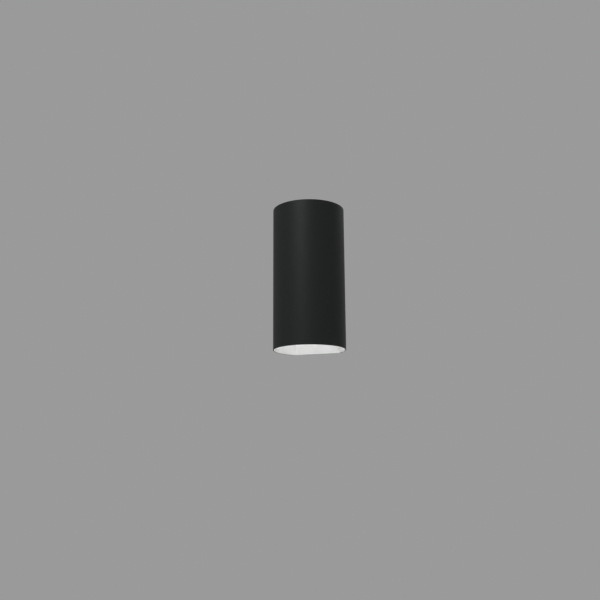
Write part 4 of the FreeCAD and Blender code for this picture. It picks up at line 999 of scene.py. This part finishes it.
# the terminal block's clamp screws, and the earth stud with its washer
clampScrew = {"radius": 1.5, "pitch": 0.5, "grip": 3.2, "tip": 0.3, "headRadius": 2.3, "headHeight": 2.4,
              "headFoot": 0.1, "headEase": 0.35, "slot": (0.6, 1.0), "threadFoot": 0.3, "threadLength": 2.7,
              "x": (-9, 0, 9), "tipY": -20.187, "rows": ((-0.9, 0), (7.9, 0.8)),
              "spins": (8, -21, 35, -12, 27, 3)}
earthPoint = {"x": -28, "y": -24.087, "foot": -22, "headRadius": 3.0, "headHeight": 0.6, "headEase": 0,
              "radius": 2.0, "press": 1.2, "runOut": 0.2, "length": 8.0, "tip": 0.4, "pitch": 0.7,
              "threadFoot": 1.2, "threadLength": 6.3}
toothedWasher = {"bore": 2.03, "radius": 3.9, "thick": 0.6, "boreEase": (0.1, 0.05), "edgeEase": (1.0, 0.08),
                 "seatZ": -20.2, "teeth": 14, "depth": 0.55}


def makeClampScrews():
    # a slotted cylinder head on a short shank; rows: height of a row, and how far its screws stand out
    wide, ease, foot = clampScrew["headRadius"], clampScrew["headEase"], clampScrew["headFoot"]
    grip, tip, core = clampScrew["grip"], clampScrew["tip"], clampScrew["radius"] - clampScrew["pitch"] / 2
    top = grip + clampScrew["headHeight"]
    profile = [(0, 0), (core - tip, 0), (core, tip), (core, grip), (wide - foot, grip), (wide, grip + foot),
               (wide, top - ease), (wide - ease, top), (0, top)]
    width, depth = clampScrew["slot"]
    master = carve(turned("screw", profile, 36), [wedge(3 * wide, width, top, depth, 1.0)])
    spots = [(x, clampScrew["tipY"] + lift, z) for x in clampScrew["x"] for z, lift in clampScrew["rows"]]
    places = [(spot, toWall, spin) for spot, spin in zip(spots, clampScrew["spins"])]
    piece = repeated("clampScrews", master, places, zinc, threadOf(clampScrew))
    return standFor(piece, "terminal_clamp_screws")


def makeEarthStud():
    place = [((earthPoint["x"], earthPoint["y"], earthPoint["foot"]), up, 0)]
    piece = repeated("earthStud", pressedStud(earthPoint), place, zinc, threadOf(earthPoint))
    return standFor(piece, "earth_stud")


def makeToothedWasher():
    teeth, depth, thick = toothedWasher["teeth"], toothedWasher["depth"], toothedWasher["thick"]
    inset = 0.06  # the teeth are cut between heights this far inside the two faces
    piece = turned("toothedWasher", washerProfile(toothedWasher), 6 * teeth,
                   (teeth, depth, inset, thick - inset))
    setDown(piece, (earthPoint["x"], earthPoint["y"], toothedWasher["seatZ"]), up, 20)
    evenShading(piece, 35)
    return standFor(painted(piece, zinc), "earth_washer")


dressed("terminal_bracket", zinc, 0.12)
dressed("terminal_body", nylon, 0.2)
dressed("terminal_clamp_tubes", brass, 0.1)
dressed("earth_ring", zinc, 0.08)
makeBlockScrews()
makeClampScrews()
makeEarthStud()
makeToothedWasher()
makeNuts()
print("terminal block done")


# each route runs from a contact, or from the earth ring, to the lower end of the block
leadRun = {"sleeve": 0.9, "core": 0.5, "coreLength": 6.0, "arcShare": 0.45}
leadRoutes = {
    "upper_live_lead": [(-4.5, -40.387, 10.5), (-4.5, -32.487, 10.5), (-9.15, -32.787, 1.0),
                        (-9.95, -32.487, -11.5), (-9.95, -26.637, -14.878), (-9.95, -20.787, -11.5),
                        (-9.95, -20.787, -3.5)],
    "lower_live_lead": [(-4.5, -40.387, -10.5), (-4.5, -33.487, -10.5), (-8.05, -26.637, -14.878),
                        (-8.05, -20.787, -11.5), (-8.05, -20.787, -3.5)],
    "earth_lead": [(-21.3, -24.087, -19.7), (-13.3, -24.087, -19.7), (-2.5, -21.587, -16.5),
                   (0, -20.787, -10.5), (0, -20.787, -3.5)],
}
for level in levels:
    leadRoutes[level + "_neutral_lead"] = [(-x, y, z) for x, y, z in leadRoutes[level + "_live_lead"]]
leadFinishes = {"live": (brownLead, "lead_brown"), "neutral": (blueLead, "lead_blue"),
                "earth": (earthLead, "lead_earth")}


def makeLead(node, route, material, slotName):
    # the bends are as wide as the shorter of their two legs allows
    points = [Vector([mm(v) for v in point]) for point in route]
    bends = [0.0]
    for before, corner, after in zip(points, points[1:], points[2:]):
        back, on = before - corner, after - corner
        turn = math.pi - back.angle(on)
        bends.append(leadRun["arcShare"] * min(back.length, on.length) / math.tan(turn / 2))
    bends.append(0.0)
    seed = bpy.data.meshes.new(node)
    seed.from_pydata(points, [(n, n + 1) for n in range(len(points) - 1)], [])
    bend = seed.attributes.new("bend", "FLOAT", "POINT")
    bend.data.foreach_set("value", bends)
    piece = grow(node + "_sleeved", leadTree, {
        "Sleeve Radius": mm(leadRun["sleeve"]), "Core Radius": mm(leadRun["core"]), "Core Start": points[-1],
        "Core End": points[-1] + up * mm(leadRun["coreLength"]), "Sleeve Finish": material,
        "Core Finish": copper}, seed)
    evenShading(piece, 50)
    return standFor(painted(piece, None), node)


for node, route in leadRoutes.items():
    makeLead(node, route, *leadFinishes[node.split("_")[-2]])
print("leads done")


# a capsule bulb: a glass capsule with a sealing tip, filament rods round a glass stem, and the wires between
bulb = {"foot": 29.75, "radius": 6.8, "wall": 0.7, "height": 28.5, "glassEase": 0.2, "rodFoot": 6.0,
        "rodLength": 16.0, "rodRadius": 0.75, "rodEase": 0.2, "circle": 3.2, "rods": 4, "stemRadius": 1.1,
        "wire": 0.25, "wireEase": 0.1, "capRadius": 0.83,
        "straight": (7, 14),  # heights of two rings on the straight part
        "tip": ((2.0, -0.28), (1.45, -0.02), (1.15, 0.3), (1.0, 0.65), (0.7, 0.95), (0.35, 1.08), (0, 1.1)),
        "flare": ((3.4, 0), (3.2, 0.5), (2.2, 1.4), (1.4, 2.6), (1.1, 4.2))}


def joined(name, pieces):
    shape = bmesh.new()
    for piece in pieces:
        shape.from_mesh(piece.data)
        bpy.data.objects.remove(piece)
    return newPiece(name, shape)


def makeGlass(level):
    # up the outside, over the crown, out to the sealing tip in one smooth curve, and down the inside
    outer, ease, high = bulb["radius"], bulb["glassEase"], bulb["height"]
    inner, shoulder = outer - bulb["wall"], high - outer
    low, middle = bulb["straight"]
    crown, hollow = [math.radians(a) for a in range(0, 73, 6)], [math.radians(a) for a in range(90, -1, -6)]
    profile = [(outer - ease, 0), (outer, ease), (outer, low), (outer, middle)]
    profile += [(outer * math.cos(a), shoulder + outer * math.sin(a)) for a in crown]
    profile += [(reach, high + rise) for reach, rise in bulb["tip"]]
    profile += [(inner * math.cos(a), shoulder + inner * math.sin(a)) for a in hollow]
    profile += [(inner, middle), (inner, low), (inner, ease), (inner + ease, 0)]
    piece = turned(level + "BulbGlass", profile, 72)
    setDown(piece, (0, tube["axisY"], levels[level] * bulb["foot"]), up * levels[level])
    piece.data.shade_smooth()
    return standFor(painted(piece, glass), level + "_bulb_glass")


def rodPlaces(level, height):
    # one on the axis of each filament rod, so high above the bulb's foot
    side, circle, axisY = levels[level], bulb["circle"], tube["axisY"]
    z = side * (bulb["foot"] + height)
    angles = [2 * math.pi * (n + 0.5) / bulb["rods"] for n in range(bulb["rods"])]
    return [((circle * math.cos(a), axisY + circle * math.sin(a), z), up * side, 0) for a in angles]


def makeRods(level):
    radius, length, ease = bulb["rodRadius"], bulb["rodLength"], bulb["rodEase"]
    profile = [(0, 0), (radius - ease, 0), (radius, ease), (radius, length - ease), (radius - ease, length),
               (0, length)]
    places = rodPlaces(level, bulb["rodFoot"])
    piece = repeated(level + "BulbRods", turned("rod", profile, 16), places, phosphor)
    return standFor(piece, level + "_bulb_filaments")


def makeStem(level):
    # a flared foot on the base, and a rod of glass up to the upper wires
    side, radius = levels[level], bulb["stemRadius"]
    top = bulb["rodFoot"] + bulb["rodLength"] + 2 * bulb["wire"]
    profile = [(0, 0), *bulb["flare"], (radius, top - 0.5), (radius - 0.3, top - 0.1), (0, top)]
    piece = turned(level + "BulbStem", profile, 32)
    setDown(piece, (0, tube["axisY"], side * bulb["foot"]), up * side)
    evenShading(piece, 60)
    return standFor(painted(piece, glass), level + "_bulb_stem")


def makeWires(level):
    # radial wires above and below the rods, a welded cap on each rod's ends, and two feed wires from the base
    side, thin, ease, foot = levels[level], bulb["wire"], bulb["wireEase"], bulb["rodFoot"]
    reach, wide = bulb["circle"] + thin, bulb["capRadius"]
    spoke = [(0, 0.8), (thin, 0.8), (thin, reach - ease), (thin - ease, reach), (0, reach)]
    cap = [(0, -0.4), (0.5, -0.4), (wide, -0.2), (wide, 0.7), (0, 0.7)]
    post = [(0, 0), (thin, 0), (thin, foot), (0, foot)]
    spokes, caps = [], []
    for height, flip in ((foot - thin, 1), (foot + bulb["rodLength"] + thin, -1)):
        for (x, y, z), _, _ in rodPlaces(level, height):
            out = Vector((x, y - tube["axisY"], 0)).normalized()
            spokes.append(((0, tube["axisY"], z), out, 0))
            caps.append(((x, y, z + side * flip * thin), up * side * flip, 0))
    posts = rodPlaces(level, 0)[::2]
    wires = joined(level + "BulbWires", [
        repeated("spokes", turned("spoke", spoke, 12), spokes, nickelWire),
        repeated("caps", turned("cap", cap, 16), caps, nickelWire),
        repeated("posts", turned("post", post, 12), posts, nickelWire)])
    evenShading(wires, 40)
    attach(painted(wires, nickelWire), level + "_bulb")
    return wires


for level in levels:
    dressed(level + "_bulb_base", bulbCeramic, 0.2)
    dressed(level + "_bulb_pins", nickelWire)
    makeGlass(level)
    makeRods(level)
    makeStem(level)
    makeWires(level)
print("bulbs done")


# camera, lamps and studio, in metres and degrees: with a turn of 0 the camera looks along +Y, and a lamp is
# straight in front of the tube
camera = {"place": (0.29641, -1.02526, -0.25861), "turn": 17.502, "rise": 12.586, "roll": -0.344,
          "lens": 45.45, "film": 36}
keyLight = {"turn": -11, "rise": 36, "distance": 1.4, "size": (0.22, 0.22), "power": 6.4, "colour": "#fdfeff"}
rearLight = {"place": (0.35, 0.95, 1.1), "size": (0.8, 0.8), "power": 5.5, "colour": "#ffffff"}
lowLight = {"place": (0.05, -0.25, -0.95), "size": (1.2, 1.2), "power": 10.5, "colour": "#ffffff"}
studio = {"grey": "#9a9a9a", "floor": "#f0f0ee", "floorZ": -1.0, "backY": 1.3, "half": 9.0,
          "below": 0.45, "level": 0.5, "above": 0.46}


def makeCamera():
    turn, rise, roll = (math.radians(camera[key]) for key in ("turn", "rise", "roll"))
    ahead = Vector((-math.sin(turn) * math.cos(rise), math.cos(turn) * math.cos(rise), math.sin(rise)))
    level = Vector((math.cos(turn), math.sin(turn), 0))
    above = level.cross(ahead)
    right = level * math.cos(roll) + above * math.sin(roll)
    top = above * math.cos(roll) - level * math.sin(roll)
    data = bpy.data.cameras.new("camera")
    data.lens, data.sensor_width = camera["lens"], camera["film"]
    view = bpy.data.objects.new("camera", data)
    bpy.context.collection.objects.link(view)
    axes = Matrix((right, top, -ahead)).transposed().to_4x4()
    view.matrix_world = Matrix.Translation(camera["place"]) @ axes
    bpy.context.scene.camera = view


def makeLamp(name, light, place, mirrored):
    data = bpy.data.lights.new(name, "AREA")
    data.shape = "RECTANGLE"
    data.size, data.size_y = light["size"]
    data.energy = light["power"]
    data.color = linearColour(light["colour"])[:3]
    lamp = bpy.data.objects.new(name, data)
    bpy.context.collection.objects.link(lamp)
    lamp.visible_camera = False
    lamp.visible_glossy = mirrored
    aim = (Vector((0, mm(tube["axisY"]), 0)) - place).to_track_quat("-Z", "Y")
    lamp.matrix_world = Matrix.Translation(place) @ aim.to_matrix().to_4x4()


def makeLamps():
    turn, rise = math.radians(keyLight["turn"]), math.radians(keyLight["rise"])
    towardsKey = Vector((math.sin(turn) * math.cos(rise), -math.cos(turn) * math.cos(rise), math.sin(rise)))
    makeLamp("keyLamp", keyLight, towardsKey * keyLight["distance"], True)
    makeLamp("rearLamp", rearLight, Vector(rearLight["place"]), True)
    # the low lamp is a fill, which would pale the coat's grazing side if it were mirrored there
    makeLamp("lowLamp", lowLight, Vector(lowLight["place"]), False)


def studioPaper(name, colour):
    # seamless studio paper: dead matt, its fibre only just visible up close
    look = {"shade": 0.98, "fibre": 1.25}
    material, tree, shader = newMaterial(name, Roughness=0.95, Specular_IOR_Level=0.1)
    fibre = addNode(tree, "ShaderNodeTexNoise", None, {"Scale": 1 / look["fibre"], "Detail": 3.0},
                    {"Vector": objectPoint(tree)}).outputs["Fac"]
    finishShader(tree, shader, (fibre, linearColour(colour, look["shade"]), linearColour(colour)))
    return material


def seenAs(material, colour):
    # the camera, mirrors and glass see the sheet at one even grey; everything else sees lit paper
    tree = material.node_tree
    shader = tree.nodes["Principled BSDF"]
    path = addNode(tree, "ShaderNodeLightPath")
    seen = addNode(tree, "ShaderNodeMath", {"operation": "MAXIMUM"}, None,
                   {0: path.outputs["Is Camera Ray"], 1: path.outputs["Is Glossy Ray"]})
    seen = addNode(tree, "ShaderNodeMath", {"operation": "MAXIMUM"}, None,
                   {0: seen.outputs[0], 1: path.outputs["Is Transmission Ray"]})
    even = addNode(tree, "ShaderNodeEmission", None, {"Color": linearColour(colour), "Strength": 1.0})
    mix = addNode(tree, "ShaderNodeMixShader", None, None,
                  {0: seen.outputs[0], 1: shader.outputs[0], 2: even.outputs[0]})
    tree.links.new(mix.outputs[0], tree.nodes["Material Output"].inputs["Surface"])
    return material


def makeStudio():
    half, low, rear = studio["half"], studio["floorZ"], studio["backY"]
    sheets = {"floor": [(-half, -half, low), (half, -half, low), (half, half, low), (-half, half, low)],
              "backdrop": [(-half, rear, low), (half, rear, low), (half, rear, half), (-half, rear, half)]}
    finishes = {"floor": studioPaper("studioFloor", studio["floor"]),
                "backdrop": seenAs(studioPaper("studioBackdrop", studio["grey"]), studio["grey"])}
    for name, corners in sheets.items():
        mesh = bpy.data.meshes.new(name)
        mesh.from_pydata(corners, [], [(0, 1, 2, 3)])
        mesh.materials.append(finishes[name])
        sheet = bpy.data.objects.new(name, mesh)
        bpy.context.collection.objects.link(sheet)


def makeWorld():
    # an even grey room, a little brighter at eye level, so that bare metal has something to show
    world = bpy.data.worlds.new("studio")
    bpy.context.scene.world = world
    world.use_nodes = True
    tree = world.node_tree
    direction = addNode(tree, "ShaderNodeTexCoord")
    height = addNode(tree, "ShaderNodeSeparateXYZ", None, None, {"Vector": direction.outputs["Generated"]})
    share = addNode(tree, "ShaderNodeMapRange", None, {"From Min": -1.0, "From Max": 1.0},
                    {"Value": height.outputs["Z"]})
    room = addNode(tree, "ShaderNodeValToRGB", None, None, {"Fac": share.outputs["Result"]})
    room.color_ramp.elements.new(0.5)
    for element, key in zip(room.color_ramp.elements, ("below", "level", "above")):
        element.color = [studio[key]] * 3 + [1]
    tree.links.new(room.outputs["Color"], tree.nodes["Background"].inputs["Color"])


makeCamera()
makeLamps()
makeStudio()
makeWorld()
bpy.context.scene.view_settings.view_transform = "Standard"
print("studio ready")
